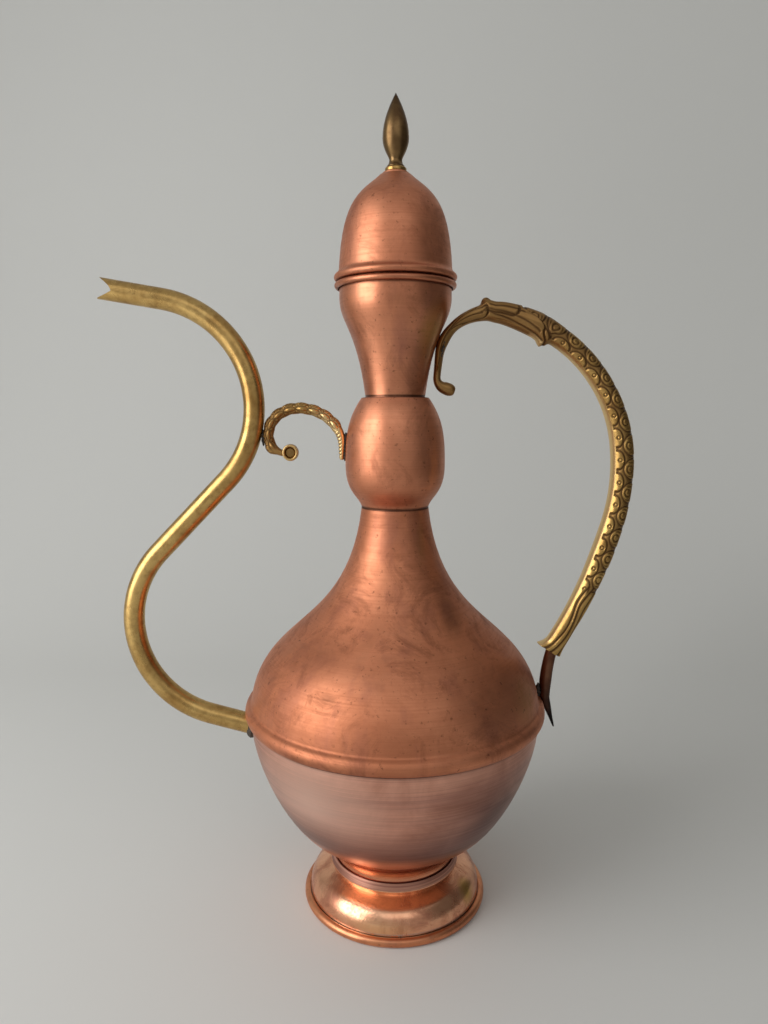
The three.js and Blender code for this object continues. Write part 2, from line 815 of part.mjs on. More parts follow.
function handle(extra) {
  const barSolid = toManifold(bar(handleRoute.path, handleStations, handleSteps, extra));
  const facing = heading(handleRoute.endHeading);
  const knobCentre = handleRoute.end.clone().addScaledVector(facing, handleKnobRadius * 0.7);
  const reach = handleKnobRadius + extra;
  return barSolid.add(rounded(knobCentre, reach, reach, reach));
}

const vesselWithGap = vesselSpace(fitGap);
const tangSolid = tang(0).subtract(vesselWithGap);
const handleSolid = handle(0).subtract(tang(fitGap)).subtract(vesselWithGap);
const braceSolid = brace(0).subtract(vesselWithGap).subtract(spoutSweep(spoutRadius + fitGap, 0));

// Solder where two pieces meet: a drop, cut back from both

function handleNeckSolder() {
  const middle = at(handleContact.x - (handleNeckThickness + handleNeckGap) / 2, handleContactZ);
  const drop = rounded(middle, dropDepth + handleNeckGap, neckDropWidth, neckDropHeight);
  return drop.subtract(vesselWithGap).subtract(handle(fitGap));
}

function handleShoulderSolder() {
  const middle = at(tangContact.x - (tangThickness + tangGap) / 2, tangContact.y);
  const drop = rounded(middle, dropDepth + tangGap / 2, shoulderDropWidth, shoulderDropHeight);
  return drop.subtract(vesselWithGap).subtract(tang(fitGap));
}

function braceSpoutSolder() {
  const middle = at(braceSideX - (braceThickness + braceSpoutGap) / 2, braceSideZ);
  const drop = rounded(middle, dropDepth + braceSpoutGap / 2, spoutDropWidth, spoutDropHeight);
  return drop.subtract(spoutSweep(spoutRadius + fitGap, 0)).subtract(brace(fitGap));
}

function braceBulbSolder() {
  const middle = at(-(bulbWallAtFoot + braceBulbGap / 2), braceFootZ + braceFootRun * 0.75);
  const drop = rounded(middle, dropDepth, bulbDropWidth, bulbDropHeight);
  return drop.subtract(vesselWithGap).subtract(brace(fitGap));
}

add("bowl", bowl(), copper);
add("shoulder", shoulder(), copper);
add("neck_bulb", neckBulb(), copper);
add("neck_funnel", neckFunnel(), copper);
add("neck_rim_wire", neckRimWire(), wireSteel);
add("spout_tube", toGeometry(spoutTube), spoutBrass);
add("spout_root_solder", toGeometry(rootSolder()), solderGrey);
add("spout_brace", toGeometry(braceSolid), castBrass);
add("brace_spout_solder", toGeometry(braceSpoutSolder()), solderGrey);
add("brace_bulb_solder", toGeometry(braceBulbSolder()), solderGrey);
add("handle", toGeometry(handleSolid), castBrass);
add("handle_tang", toGeometry(tangSolid), tangBrown);
add("handle_neck_solder", toGeometry(handleNeckSolder()), solderGrey);
add("handle_shoulder_solder", toGeometry(handleShoulderSolder()), solderGrey);

// Lid

const studBore = studRadius + fitGap;

function lidDome() {
  const domeBeadZ = lidZ + domeBeadHalfHeight;
  const domeBeadTop = domeBeadZ + domeBeadHalfHeight;
  const crown = at(bossRadius + bossFillet, domeTopZ - sheet / 2);
  const outer = [
    ...oval(at(domeRadius, domeBeadZ), domeBeadRadius - domeRadius, domeBeadHalfHeight, -78, up, 4),
    ...sweep(at(domeRadius, domeBeadTop + domeBeadFillet), 94.3, 0.725, crown, 136.2, 0.24, 6),
    at(bossRadius + bossFillet * 0.2, domeTopZ),
    at(bossRadius, domeTopZ + bossHeight * 0.7),
    at(bossRadius * 0.91, domeTopZ + bossHeight),
  ];
  const inner = offset(outer, -sheet);
  const ceiling = domeTopZ + bossHeight - sheet;
  inner[inner.length - 1].set(bossRadius - 2 * sheet, ceiling);
  return shell([...outer, at(studBore, domeTopZ + bossHeight)], [...inner, at(studBore, ceiling)]);
}

function lidSleeve() {
  const top = mouthBore - fitGap;
  const low = lidZ - sleeveDrop;
  const high = lidZ + sleeveRise;
  return shell(
    [at(top - sleeveTaper, low), at(top, high)],
    [at(top - sleeveTaper - sheet, low), at(top - sheet, high)],
  );
}

function ring(innerRadius, outerRadius, low, height) {
  return revolve([
    at(innerRadius, low),
    at(outerRadius, low),
    at(outerRadius, low + height),
    at(innerRadius, low + height),
    at(innerRadius, low),
  ], finialSides);
}

function finial() {
  const socketTop = finialZ + studInFinial + fitGap;
  const waist = at(finialWaistRadius, finialZ + finialWaistRise);
  const bud = at(finialBudRadius, finialZ + finialBudRise);
  return revolve([
    at(0, socketTop),
    at(studBore, socketTop),
    at(studBore, finialZ),
    at(finialFootRadius, finialZ),
    ...sweep(at(finialFootRadius, finialZ + finialFootEdge), 120, 0.47, waist, up, 0.39, 4),
    ...sweep(waist, up, 0.16, bud, up, 0.49, 5).slice(1),
    ...sweep(bud, up, 0.375, at(0, finialZ + finialHeight), 118, 0.28, 7).slice(1),
  ], finialSides);
}

function hexNut() {
  const hexagon = new THREE.Shape();
  const corner = nutAcrossFlats / 2 / Math.cos(Math.PI / 6);
  for (let k = 0; k < 6; k += 1) {
    const angle = (k * Math.PI) / 3;
    const point = [corner * Math.cos(angle), corner * Math.sin(angle)];
    if (k === 0) hexagon.moveTo(...point);
    else hexagon.lineTo(...point);
  }
  const hole = new THREE.Path();
  hole.absarc(0, 0, studBore, 0, 2 * Math.PI, true);
  hexagon.holes.push(hole);
  const geometry = new THREE.ExtrudeGeometry(hexagon, {
    depth: nutHeight,
    curveSegments: 8,
    bevelEnabled: false,
  });
  geometry.translate(0, 0, washerZ - fitGap - nutHeight);
  return facingOut(geometry);
}

const washerZ = domeTopZ + bossHeight - sheet - fitGap - washerThickness;
const studFootZ = washerZ - fitGap - nutHeight - studTail;

function finialStud() {
  return revolve([
    at(0, studFootZ),
    at(studRadius, studFootZ),
    at(studRadius, finialZ + studInFinial),
    at(0, finialZ + studInFinial),
  ], finialSides);
}

add("lid_dome", lidDome(), copper);
add("lid_sleeve", lidSleeve(), copper);
add("finial_collar", ring(studBore, collarRadius, collarZ, collarHeight), spoutBrass);
add("finial", finial(), castBrass);
add("finial_stud", finialStud(), wireSteel);
add("finial_washer", ring(studBore, washerRadius, washerZ, washerThickness), wireSteel);
add("finial_nut", hexNut(), wireSteel);

export default ewer;
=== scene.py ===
import math

import bpy
import numpy as np
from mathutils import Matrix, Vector


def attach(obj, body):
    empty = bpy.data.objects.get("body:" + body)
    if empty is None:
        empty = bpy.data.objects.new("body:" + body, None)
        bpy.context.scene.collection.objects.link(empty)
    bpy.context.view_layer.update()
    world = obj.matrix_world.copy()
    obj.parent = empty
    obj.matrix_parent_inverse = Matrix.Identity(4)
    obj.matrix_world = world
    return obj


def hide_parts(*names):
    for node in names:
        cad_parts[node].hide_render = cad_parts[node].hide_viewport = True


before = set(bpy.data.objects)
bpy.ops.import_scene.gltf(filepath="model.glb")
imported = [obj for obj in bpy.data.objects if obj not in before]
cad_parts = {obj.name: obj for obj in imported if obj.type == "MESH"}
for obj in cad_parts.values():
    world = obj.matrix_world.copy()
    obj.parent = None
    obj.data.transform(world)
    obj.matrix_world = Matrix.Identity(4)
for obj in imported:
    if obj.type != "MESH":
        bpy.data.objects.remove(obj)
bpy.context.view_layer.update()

mm = 0.001
weldGap = 0.000005


# Small helpers for working as in the viewport


def deselectAll():
    if bpy.context.object and bpy.context.object.mode != "OBJECT":
        bpy.ops.object.mode_set(mode="OBJECT")
    bpy.ops.object.select_all(action="DESELECT")


def pick(piece):
    deselectAll()
    piece.select_set(True)
    bpy.context.view_layer.objects.active = piece


def enterEdit(piece):
    pick(piece)
    bpy.ops.object.mode_set(mode="EDIT")
    bpy.ops.mesh.select_mode(type="VERT")
    bpy.ops.mesh.select_all(action="DESELECT")


def selectAll():
    bpy.ops.mesh.select_all(action="SELECT")


def leaveEdit():
    bpy.ops.object.mode_set(mode="OBJECT")


def applyAll(piece):
    pick(piece)
    for modifier in list(piece.modifiers):
        bpy.ops.object.modifier_apply(modifier=modifier.name)


def settle(piece):
    pick(piece)
    bpy.ops.object.transform_apply(location=True, rotation=True, scale=True)


def smooth(piece, angle=40):
    pick(piece)
    bpy.ops.object.shade_smooth_by_angle(angle=math.radians(angle))


def merge(piece):
    enterEdit(piece)
    selectAll()
    bpy.ops.mesh.remove_doubles(threshold=weldGap)
    leaveEdit()


def asMesh(drawn):
    pick(drawn)
    bpy.ops.object.convert(target="MESH")
    piece = bpy.context.object
    merge(piece)
    return piece


def faceOutward(piece):
    enterEdit(piece)
    selectAll()
    bpy.ops.mesh.normals_make_consistent(inside=False)
    leaveEdit()


def join(pieces, name):
    deselectAll()
    for piece in pieces:
        piece.select_set(True)
    bpy.context.view_layer.objects.active = pieces[0]
    bpy.ops.object.join()
    pieces[0].name = name
    return pieces[0]


def heading(degrees):
    angle = math.radians(degrees)
    return math.cos(angle), math.sin(angle)


# Outlines are drawn as Bezier curves in the XZ plane, in millimetres, then turned or swept


class Outline:
    def __init__(self, across, up):
        self.knots = [[(across, up), None, None]]

    def line(self, across, up):
        self.knots.append([(across, up), None, None])
        return self

    def sweep(self, leave, leavePull, across, up, arrive, arrivePull):
        dx, dz = heading(leave)
        x, z = self.knots[-1][0]
        self.knots[-1][2] = (x + dx * leavePull, z + dz * leavePull)
        dx, dz = heading(arrive)
        self.knots.append([(across, up), (across - dx * arrivePull, up - dz * arrivePull), None])
        return self

    def arch(self, pull, across, up):
        x, z = self.knots[-1][0]
        self.knots[-1][2] = (x + (pull[0] - x) * 2 / 3, z + (pull[1] - z) * 2 / 3)
        before = (across + (pull[0] - across) * 2 / 3, up + (pull[1] - up) * 2 / 3)
        self.knots.append([(across, up), before, None])
        return self

    def bend(self, centre, across, up, start, end):
        pieces = max(1, math.ceil(abs(end - start) / 60))
        turn = (end - start) / pieces
        pull = 4 / 3 * math.tan(math.radians(turn) / 4)
        for i in range(pieces):
            a, b = heading(start + turn * i), heading(start + turn * (i + 1))
            p = (centre[0] + across * a[0], centre[1] + up * a[1])
            q = (centre[0] + across * b[0], centre[1] + up * b[1])
            if i == 0 and math.dist(p, self.knots[-1][0]) > 0.001:
                self.line(*p)
            self.knots[-1][2] = (p[0] - pull * across * a[1], p[1] + pull * up * a[0])
            self.knots.append([q, (q[0] + pull * across * b[1], q[1] - pull * up * b[0]), None])
        return self

    def curve(self, name, resolution=10):
        deselectAll()
        bpy.ops.curve.primitive_bezier_curve_add(location=(0, 0, 0))
        drawn = bpy.context.object
        drawn.name = name
        drawn.data.dimensions = "3D"
        drawn.data.twist_mode = "MINIMUM"
        drawn.data.resolution_u = resolution
        points = drawn.data.splines[0].bezier_points
        points.add(len(self.knots) - len(points))
        for i, (knot, (place, before, after)) in enumerate(zip(points, self.knots)):
            back = self.knots[max(i - 1, 0)][0]
            on = self.knots[min(i + 1, len(self.knots) - 1)][0]
            before = before or tuple(p + (q - p) / 3 for p, q in zip(place, back))
            after = after or tuple(p + (q - p) / 3 for p, q in zip(place, on))
            knot.handle_left_type = knot.handle_right_type = "FREE"
            knot.co = (place[0] * mm, 0, place[1] * mm)
            knot.handle_left = (before[0] * mm, 0, before[1] * mm)
            knot.handle_right = (after[0] * mm, 0, after[1] * mm)
        return drawn


def turned(name, outline, wall=0, steps=144, resolution=8):
    piece = asMesh(outline.curve(name, resolution))
    enterEdit(piece)
    selectAll()
    bpy.ops.mesh.spin(steps=steps, angle=2 * math.pi, center=(0, 0, 0), axis=(0, 0, 1))
    selectAll()
    bpy.ops.mesh.remove_doubles(threshold=weldGap)
    bpy.ops.mesh.normals_make_consistent(inside=False)
    leaveEdit()
    if wall:
        turnTowardsOutside(piece)
        skin = piece.modifiers.new("wall", "SOLIDIFY")
        skin.thickness = wall * mm
        skin.offset = -1
        skin.use_even_offset = True
        applyAll(piece)
    smooth(piece)
    return piece


def turnTowardsOutside(piece):
    away = sum(f.normal.x * f.center.x + f.normal.y * f.center.y for f in piece.data.polygons)
    if away < 0:
        enterEdit(piece)
        selectAll()
        bpy.ops.mesh.flip_normals()
        leaveEdit()


def cutAway(piece, tool):
    cut = piece.modifiers.new("cut", "BOOLEAN")
    cut.operation = "DIFFERENCE"
    cut.solver = "EXACT"
    cut.object = tool
    applyAll(piece)
    bpy.data.objects.remove(tool)


def slab(name, outline, half):
    piece = asMesh(outline.curve(name, 12))
    enterEdit(piece)
    selectAll()
    bpy.ops.mesh.edge_face_add()
    bpy.ops.transform.translate(value=(0, -half * mm, 0))
    bpy.ops.mesh.extrude_region_move(TRANSFORM_OT_translate={"value": (0, 2 * half * mm, 0)})
    leaveEdit()
    faceOutward(piece)
    return piece


def rod(across, up, facing, back, ahead, radius):
    dx, dz = heading(facing)
    middle = (ahead - back) / 2
    deselectAll()
    bpy.ops.mesh.primitive_cylinder_add(
        vertices=64,
        radius=radius * mm,
        depth=(back + ahead) * mm,
        location=((across + dx * middle) * mm, 0, (up + dz * middle) * mm),
        rotation=(0, math.radians(90 - facing), 0),
    )
    return bpy.context.object


def bendAlong(piece, outline):
    guide = outline.curve("guide", 24)
    bend = piece.modifiers.new("bend", "CURVE")
    bend.object = guide
    bend.deform_axis = "POS_X"
    applyAll(piece)
    bpy.data.objects.remove(guide)


# A straight cast bar along X: Z is the side for the fingers, Y is across


def straightBar(name, stations, sides=16, levels=3):
    full = 3 / (2 + math.cos(2 * math.pi / sides))
    stations = [(run, *(full * size for size in rest)) for run, *rest in stations]
    run, inner, outer, width = stations[0]
    deselectAll()
    bpy.ops.mesh.primitive_circle_add(
        vertices=sides, radius=1, fill_type="NGON", rotation=(0, math.pi / 2, 0), location=(0, 0, 0)
    )
    bar = bpy.context.object
    bar.name = name
    settle(bar)
    bpy.ops.object.mode_set(mode="EDIT")
    selectAll()
    deep = (inner + outer) / 2 * mm
    middle = Vector((run * mm, 0, (inner - outer) / 2 * mm))
    bpy.ops.transform.resize(value=(1, width / 2 * mm, deep))
    bpy.ops.transform.translate(value=middle)
    half = width / 2 * mm
    for run, inner, outer, width in stations[1:]:
        place = Vector((run * mm, 0, (inner - outer) / 2 * mm))
        bpy.ops.mesh.extrude_region_move(TRANSFORM_OT_translate={"value": place - middle})
        grow = (1, width / 2 * mm / half, (inner + outer) / 2 * mm / deep)
        bpy.ops.transform.resize(value=grow, center_override=place)
        middle, half, deep = place, width / 2 * mm, (inner + outer) / 2 * mm
    selectAll()
    bpy.ops.mesh.normals_make_consistent(inside=False)
    leaveEdit()
    rounder = bar.modifiers.new("round", "SUBSURF")
    rounder.levels = rounder.render_levels = levels
    applyAll(bar)
    return bar


# Relief: depths in millimetres, one for each point of the straight bar. Positive rises


def barPlaces(bar):
    flat = np.empty(len(bar.data.vertices) * 3)
    bar.data.vertices.foreach_get("co", flat)
    return flat.reshape(-1, 3) / mm


def runAndReach(bar, stations, radius):
    x, y, z = barPlaces(bar).T
    runs = [station[0] for station in stations]
    inner, outer, width = [np.interp(x, runs, [station[k] for station in stations]) for k in (1, 2, 3)]
    angle = np.arctan2(np.abs(y) * 2 / width, (z - (inner - outer) / 2) * 2 / (inner + outer))
    return x, angle * radius


def beatOf(run, first, pitch):
    return np.mod(run - first + pitch / 2, pitch) - pitch / 2


def emboss(bar, depths):
    for sign, name in ((1, "raised"), (-1, "sunken")):
        part = np.clip(depths * sign, 0, None)
        most = part.max()
        if most == 0:
            continue
        group = bar.vertex_groups.new(name=name)
        for point in np.nonzero(part)[0]:
            group.add([int(point)], part[point] / most, "REPLACE")
        push = bar.modifiers.new(name, "DISPLACE")
        push.vertex_group = name
        push.mid_level = 0
        push.strength = sign * most * mm
        applyAll(bar)
    bar.vertex_groups.clear()


def groove(away, width):
    return np.clip(1 - away / (width / 2), 0, 1) ** 0.7


def rise(inside, edge):
    steady = np.clip(inside / edge, 0, 1)
    return steady * steady * (3 - 2 * steady)


def awayFrom(across, up, knots):
    least = np.full(across.shape, 1e9)
    for (x0, y0), (x1, y1) in zip(knots, knots[1:]):
        dx, dy = x1 - x0, y1 - y0
        along = np.clip(((across - x0) * dx + (up - y0) * dy) / (dx * dx + dy * dy), 0, 1)
        least = np.minimum(least, np.hypot(across - x0 - along * dx, up - y0 - along * dy))
    return least


def rounded(knots, passes=2):
    for _ in range(passes):
        finer = [knots[0]]
        for (x0, y0), (x1, y1) in zip(knots, knots[1:]):
            finer.append((0.75 * x0 + 0.25 * x1, 0.75 * y0 + 0.25 * y1))
            finer.append((0.25 * x0 + 0.75 * x1, 0.25 * y0 + 0.75 * y1))
        finer.append(knots[-1])
        knots = finer
    return knots


# A route in the XZ plane, made of straights and bends. A positive turn goes left


class Route(Outline):
    def __init__(self, across, up, facing):
        super().__init__(across, up)
        self.facing = facing

    def straight(self, length):
        dx, dz = heading(self.facing)
        x, z = self.knots[-1][0]
        self.line(x + dx * length, z + dz * length)
        return self

    def turn(self, radius, degrees):
        side = math.copysign(1, degrees)
        dx, dz = heading(self.facing)
        x, z = self.knots[-1][0]
        centre = (x - dz * radius * side, z + dx * radius * side)
        start = self.facing - 90 * side
        self.bend(centre, radius, radius, start, start + degrees)
        self.facing += degrees
        return self


def steadyStations(stations, spacing):
    rings = []
    for a, b in zip(stations, stations[1:]):
        parts = max(1, math.ceil((b[0] - a[0]) / spacing))
        for i in range(parts):
            rings.append(tuple(p + (q - p) * i / parts for p, q in zip(a, b)))
    rings.append(stations[-1])
    return rings


def keepDepths(bar, name, depths):
    layer = bar.data.attributes.new(name, "FLOAT", "POINT")
    layer.data.foreach_set("value", depths.astype(np.float32))


# Finishes


class Finish:
    def __init__(self, name, metallic=1):
        self.material = bpy.data.materials.new(name)
        self.material.use_nodes = True
        self.nodes = self.material.node_tree.nodes
        self.links = self.material.node_tree.links
        self.surface = self.nodes["Principled BSDF"]
        self.surface.inputs["Metallic"].default_value = metallic
        self.place = self.nodes.new("ShaderNodeTexCoord").outputs["Object"]

    def stretched(self, x, y, z):
        mapping = self.nodes.new("ShaderNodeMapping")
        mapping.inputs["Scale"].default_value = (x, y, z)
        self.links.new(self.place, mapping.inputs["Vector"])
        return mapping.outputs["Vector"]

    def noise(self, scale, detail=4, rough=0.55, warp=0, along=None):
        noise = self.nodes.new("ShaderNodeTexNoise")
        noise.inputs["Scale"].default_value = scale
        noise.inputs["Detail"].default_value = detail
        noise.inputs["Roughness"].default_value = rough
        noise.inputs["Distortion"].default_value = warp
        self.links.new(along or self.place, noise.inputs["Vector"])
        return noise.outputs["Fac"]

    def range(self, value, low, high, least=0, most=1):
        spread = self.nodes.new("ShaderNodeMapRange")
        ends = {"From Min": low, "From Max": high, "To Min": least, "To Max": most}
        for name, number in ends.items():
            spread.inputs[name].default_value = number
        self.links.new(value, spread.inputs["Value"])
        return spread.outputs["Result"]

    def maths(self, operation, first, second):
        node = self.nodes.new("ShaderNodeMath")
        node.operation = operation
        for socket, value in zip(node.inputs, (first, second)):
            if isinstance(value, (int, float)):
                socket.default_value = value
            else:
                self.links.new(value, socket)
        return node.outputs["Value"]

    def mix(self, share, first, second):
        mix = self.nodes.new("ShaderNodeMix")
        mix.data_type = "RGBA"
        sockets = mix.inputs["Factor"], mix.inputs[6], mix.inputs[7]
        for socket, value in zip(sockets, (share, first, second)):
            if isinstance(value, (int, float)):
                socket.default_value = value
            elif isinstance(value, tuple):
                socket.default_value = (*value, 1)
            else:
                self.links.new(value, socket)
        return mix.outputs[2]

    def part(self, name):
        split = self.nodes.new("ShaderNodeSeparateXYZ")
        self.links.new(self.place, split.inputs["Vector"])
        return split.outputs[name]

    def spot(self, centre, size, soft=0.5):
        mapping = self.nodes.new("ShaderNodeMapping")
        mapping.inputs["Scale"].default_value = tuple(1 / (s * mm) for s in size)
        mapping.inputs["Location"].default_value = tuple(-c / s for c, s in zip(centre, size))
        self.links.new(self.place, mapping.inputs["Vector"])
        far = self.nodes.new("ShaderNodeVectorMath")
        far.operation = "LENGTH"
        self.links.new(mapping.outputs["Vector"], far.inputs[0])
        return self.range(far.outputs["Value"], 1 - soft, 1, 1, 0)

    def both(self, first, second):
        return self.maths("MULTIPLY", first, second)

    def stored(self, name):
        attribute = self.nodes.new("ShaderNodeAttribute")
        attribute.attribute_name = name
        return attribute.outputs["Fac"]

    def bump(self, *layers):
        normal = None
        for height, strength, distance in layers:
            bump = self.nodes.new("ShaderNodeBump")
            bump.inputs["Strength"].default_value = strength
            bump.inputs["Distance"].default_value = distance * mm
            self.links.new(height, bump.inputs["Height"])
            if normal:
                self.links.new(normal, bump.inputs["Normal"])
            normal = bump.outputs["Normal"]
        self.links.new(normal, self.surface.inputs["Normal"])

    def set(self, colour, roughness):
        self.links.new(colour, self.surface.inputs["Base Color"])
        self.links.new(roughness, self.surface.inputs["Roughness"])
        return self.material


# Seams and painted shade lines are given as level, half height, strength and tone, and stains and a painted
# reflection as centre, size, strength and tone


def spunCopper(name, tones, satin, blotches, seamsAndShadeLines=(), stainsAndReflection=()):
    light, dark, stain = tones
    finish = Finish(name)
    rings = finish.noise(1, 5, 0.6, along=finish.stretched(9, 9, 900))
    bands = finish.noise(1, 3, 0.5, along=finish.stretched(6, 6, 110))
    clouds = finish.noise(11, 7, 0.66, 0.5)
    patches = finish.noise(30, 9, 0.72, 0.9)
    streaks = finish.noise(1, 5, 0.62, along=finish.stretched(46, 46, 7))
    specks = finish.noise(300, 4, 0.6)
    colour = finish.mix(finish.range(clouds, 0.36, 0.64), light, dark)
    colour = finish.mix(finish.range(streaks, 0.5, 0.68, 0, 0.42), colour, violet)
    colour = finish.mix(finish.range(bands, 0.4, 0.7, 0, 0.3), colour, dark)
    colour = finish.mix(finish.range(patches, 0.52, 0.68, 0, blotches), colour, stain)
    colour = finish.mix(finish.range(rings, 0.45, 0.75, 0, 0.12), colour, stain)
    colour = finish.mix(finish.range(specks, 0.62, 0.72, 0, 0.7), colour, stain)
    uneven = finish.range(patches, 0.3, 0.6, 0.35, 1)
    for centre, size, strength, tone in stainsAndReflection:
        ragged = finish.both(finish.spot(centre, size, 0.85), uneven)
        colour = finish.mix(finish.both(ragged, strength), colour, tone)
    broken = finish.range(patches, 0.3, 0.5, 0.7, 1)
    for level, half, strength, tone in seamsAndShadeLines:
        away = finish.maths("ABSOLUTE", finish.maths("SUBTRACT", finish.part("Z"), level * mm), 0)
        band = finish.both(finish.range(away, half * 0.4 * mm, half * mm, 1, 0), broken)
        colour = finish.mix(finish.both(band, strength), colour, tone)
    worn = finish.range(patches, 0.4, 0.75, satin, satin + 0.2)
    rough = finish.maths("ADD", finish.range(rings, 0.3, 0.7, 0, 0.1), worn)
    finish.bump((rings, 0.3, 0.05), (bands, 0.2, 0.3), (specks, 0.12, 0.05))
    return finish.set(colour, rough)


print("helpers ready")


# Camera

photoView = {"away": 0.56, "up": 0.3892, "tilt": 82.17, "swing": 0.866, "lens": 25.84, "sensor": 36}
bpy.ops.object.camera_add(location=(0, -photoView["away"], photoView["up"]))
camera = bpy.context.object
camera.rotation_euler = (math.radians(photoView["tilt"]), 0, math.radians(photoView["swing"]))
camera.data.lens = photoView["lens"]
camera.data.sensor_width = photoView["sensor"]
camera.data.sensor_fit = "AUTO"
bpy.context.scene.camera = camera


# Copper

# Near-black for the dark seam joints, and for the painted shade lines under the lid's bead and the funnel's
# rim roll
sootAndShade = (0.03, 0.018, 0.014)
violet = (0.3, 0.11, 0.08)
pitDark = (0.12, 0.05, 0.03)
warm = ((0.76, 0.32, 0.18), (0.54, 0.205, 0.11), (0.17, 0.062, 0.033))
matted = ((0.7, 0.285, 0.155), (0.5, 0.185, 0.095), (0.17, 0.062, 0.033))
rubbed = ((0.82, 0.36, 0.18), (0.66, 0.26, 0.13), (0.25, 0.1, 0.05))

copper = spunCopper("wornCopper", warm, 0.34, 0.4)
# The lid's dark line at 483.2 mm is painted shade in the gap between the lid's bead and the neck's rim
lidCopper = spunCopper("lidCopper", warm, 0.36, 0.35, [(483.2, 0.8, 0.6, sootAndShade)])
# A dark seam joint at 400.2 mm, and painted shadow under the rim roll at 477.6 mm
funnelSeamAndShadow = [(400.2, 1.1, 0.8, sootAndShade), (477.6, 1, 0.4, sootAndShade)]
# The first spot is a painted yellow reflection on the neck's right side, the second a violet-brown streak
funnelReflectionAndStain = [
    ((27, -18, 446), (15, 20, 30), 0.8, (0.55, 0.31, 0.07)),
    ((4, -36, 436), (9, 14, 28), 0.6, (0.3, 0.12, 0.1)),
]
funnelCopper = spunCopper("funnelCopper", warm, 0.27, 0.45, funnelSeamAndShadow, funnelReflectionAndStain)
bulbSeams = [(399.6, 1, 0.8, sootAndShade), (317.4, 1, 0.7, sootAndShade)]
bulbCopper = spunCopper("bulbCopper", warm, 0.36, 0.35, bulbSeams)
shoulderSeams = [(153.9, 1.6, 0.9, sootAndShade), (316.4, 0.9, 0.8, sootAndShade)]
shoulderStains = [
    ((41, -42, 238), (10, 20, 20), 0.7, (0.1, 0.045, 0.03)),
    ((36, -36, 262), (9, 18, 36), 0.55, (0.2, 0.085, 0.06)),
    ((62, -76, 178), (26, 30, 12), 0.5, (0.17, 0.07, 0.05)),
    ((93, -50, 182), (18, 30, 20), 0.45, (0.45, 0.26, 0.08)),
    ((-48, -62, 216), (30, 34, 24), 0.6, (0.26, 0.1, 0.055)),
    ((-44, -84, 198), (7, 20, 4), 0.6, pitDark),
    ((-34, -84, 192), (5, 20, 3), 0.6, pitDark),
    ((20, -28, 300), (5, 12, 26), 0.5, (0.45, 0.26, 0.09)),
]
shoulderCopper = spunCopper("shoulderCopper", matted, 0.41, 0.5, shoulderSeams, shoulderStains)
rollCopper = spunCopper("rollCopper", rubbed, 0.26, 0.35)

# The bowl: violet copper with a silvery painted highlight on the left and painted shade on the right and
# underneath, bright on the stem

bowlMarks = {
    "stem": (0.061, 0.078),
    "shadeFrom": (0.069, 0.08),
    "shadeTo": (0.084, 0.112),
    "underBead": (0.1515, 0.1535),
    "aboveCollar": (0.0364, 0.0374),
}
# A painted highlight on the bowl's left side and painted shade on its right side
bowlPaintedLightAndShade = [
    ((-52, -78, 124), (58, 62, 46), 0.9, (0.98, 0.66, 0.54)),
    ((66, -74, 108), (64, 66, 64), 0.95, (0.12, 0.045, 0.035)),
]
bowl = Finish("violetCopper")
bowlLevel = bowl.part("Z")
bowlRings = bowl.noise(1, 5, 0.6, along=bowl.stretched(9, 9, 900))
bowlBands = bowl.noise(1, 3, 0.55, along=bowl.stretched(5, 5, 90))
bowlClouds = bowl.noise(20, 6, 0.62, 0.6)
bowlColour = bowl.mix(bowl.range(bowlClouds, 0.38, 0.66), (0.78, 0.4, 0.29), (0.55, 0.25, 0.17))
bowlColour = bowl.mix(bowl.range(bowlBands, 0.42, 0.68, 0, 0.45), bowlColour, (0.3, 0.14, 0.12))
bowlColour = bowl.mix(bowl.range(bowlRings, 0.42, 0.7, 0, 0.25), bowlColour, (0.16, 0.075, 0.06))
for centre, size, strength, tone in bowlPaintedLightAndShade:
    shade = bowl.both(bowl.spot(centre, size, 0.9), bowl.range(bowlClouds, 0.3, 0.6, 0.75, 1))
    bowlColour = bowl.mix(bowl.both(shade, strength), bowlColour, tone)
bowlStem = bowl.range(bowlLevel, *bowlMarks["stem"], 1, 0)
stemColour = bowl.mix(bowlClouds, (0.86, 0.4, 0.22), (0.68, 0.27, 0.15))
bowlColour = bowl.mix(bowlStem, bowlColour, stemColour)
# Painted shade on the lower bowl, where it faces down
bowlShadeFade = bowl.range(bowlLevel, *bowlMarks["shadeTo"], 1, 0)
bowlUnderShade = bowl.both(bowl.range(bowlLevel, *bowlMarks["shadeFrom"]), bowlShadeFade)
bowlColour = bowl.mix(bowl.both(bowlUnderShade, 0.75), bowlColour, (0.17, 0.075, 0.06))
bowlColour = bowl.mix(bowl.both(bowl.range(bowlLevel, *bowlMarks["underBead"]), 0.6), bowlColour, sootAndShade)
bowlCollar = bowl.range(bowlLevel, *bowlMarks["aboveCollar"], 1, 0)
bowlColour = bowl.mix(bowl.both(bowlCollar, 0.8), bowlColour, (0.2, 0.11, 0.11))
bowl.bump((bowlRings, 0.35, 0.06), (bowlBands, 0.25, 0.35))
bowlSatin = bowl.maths("ADD", bowl.range(bowlStem, 0, 1, 0.3, 0.22), bowl.range(bowlRings, 0.3, 0.7, 0, 0.1))
bowlCopper = bowl.set(bowlColour, bowlSatin)

# The foot: rubbed copper with gold and yellow stains, a grey crimp line and a ringed collar

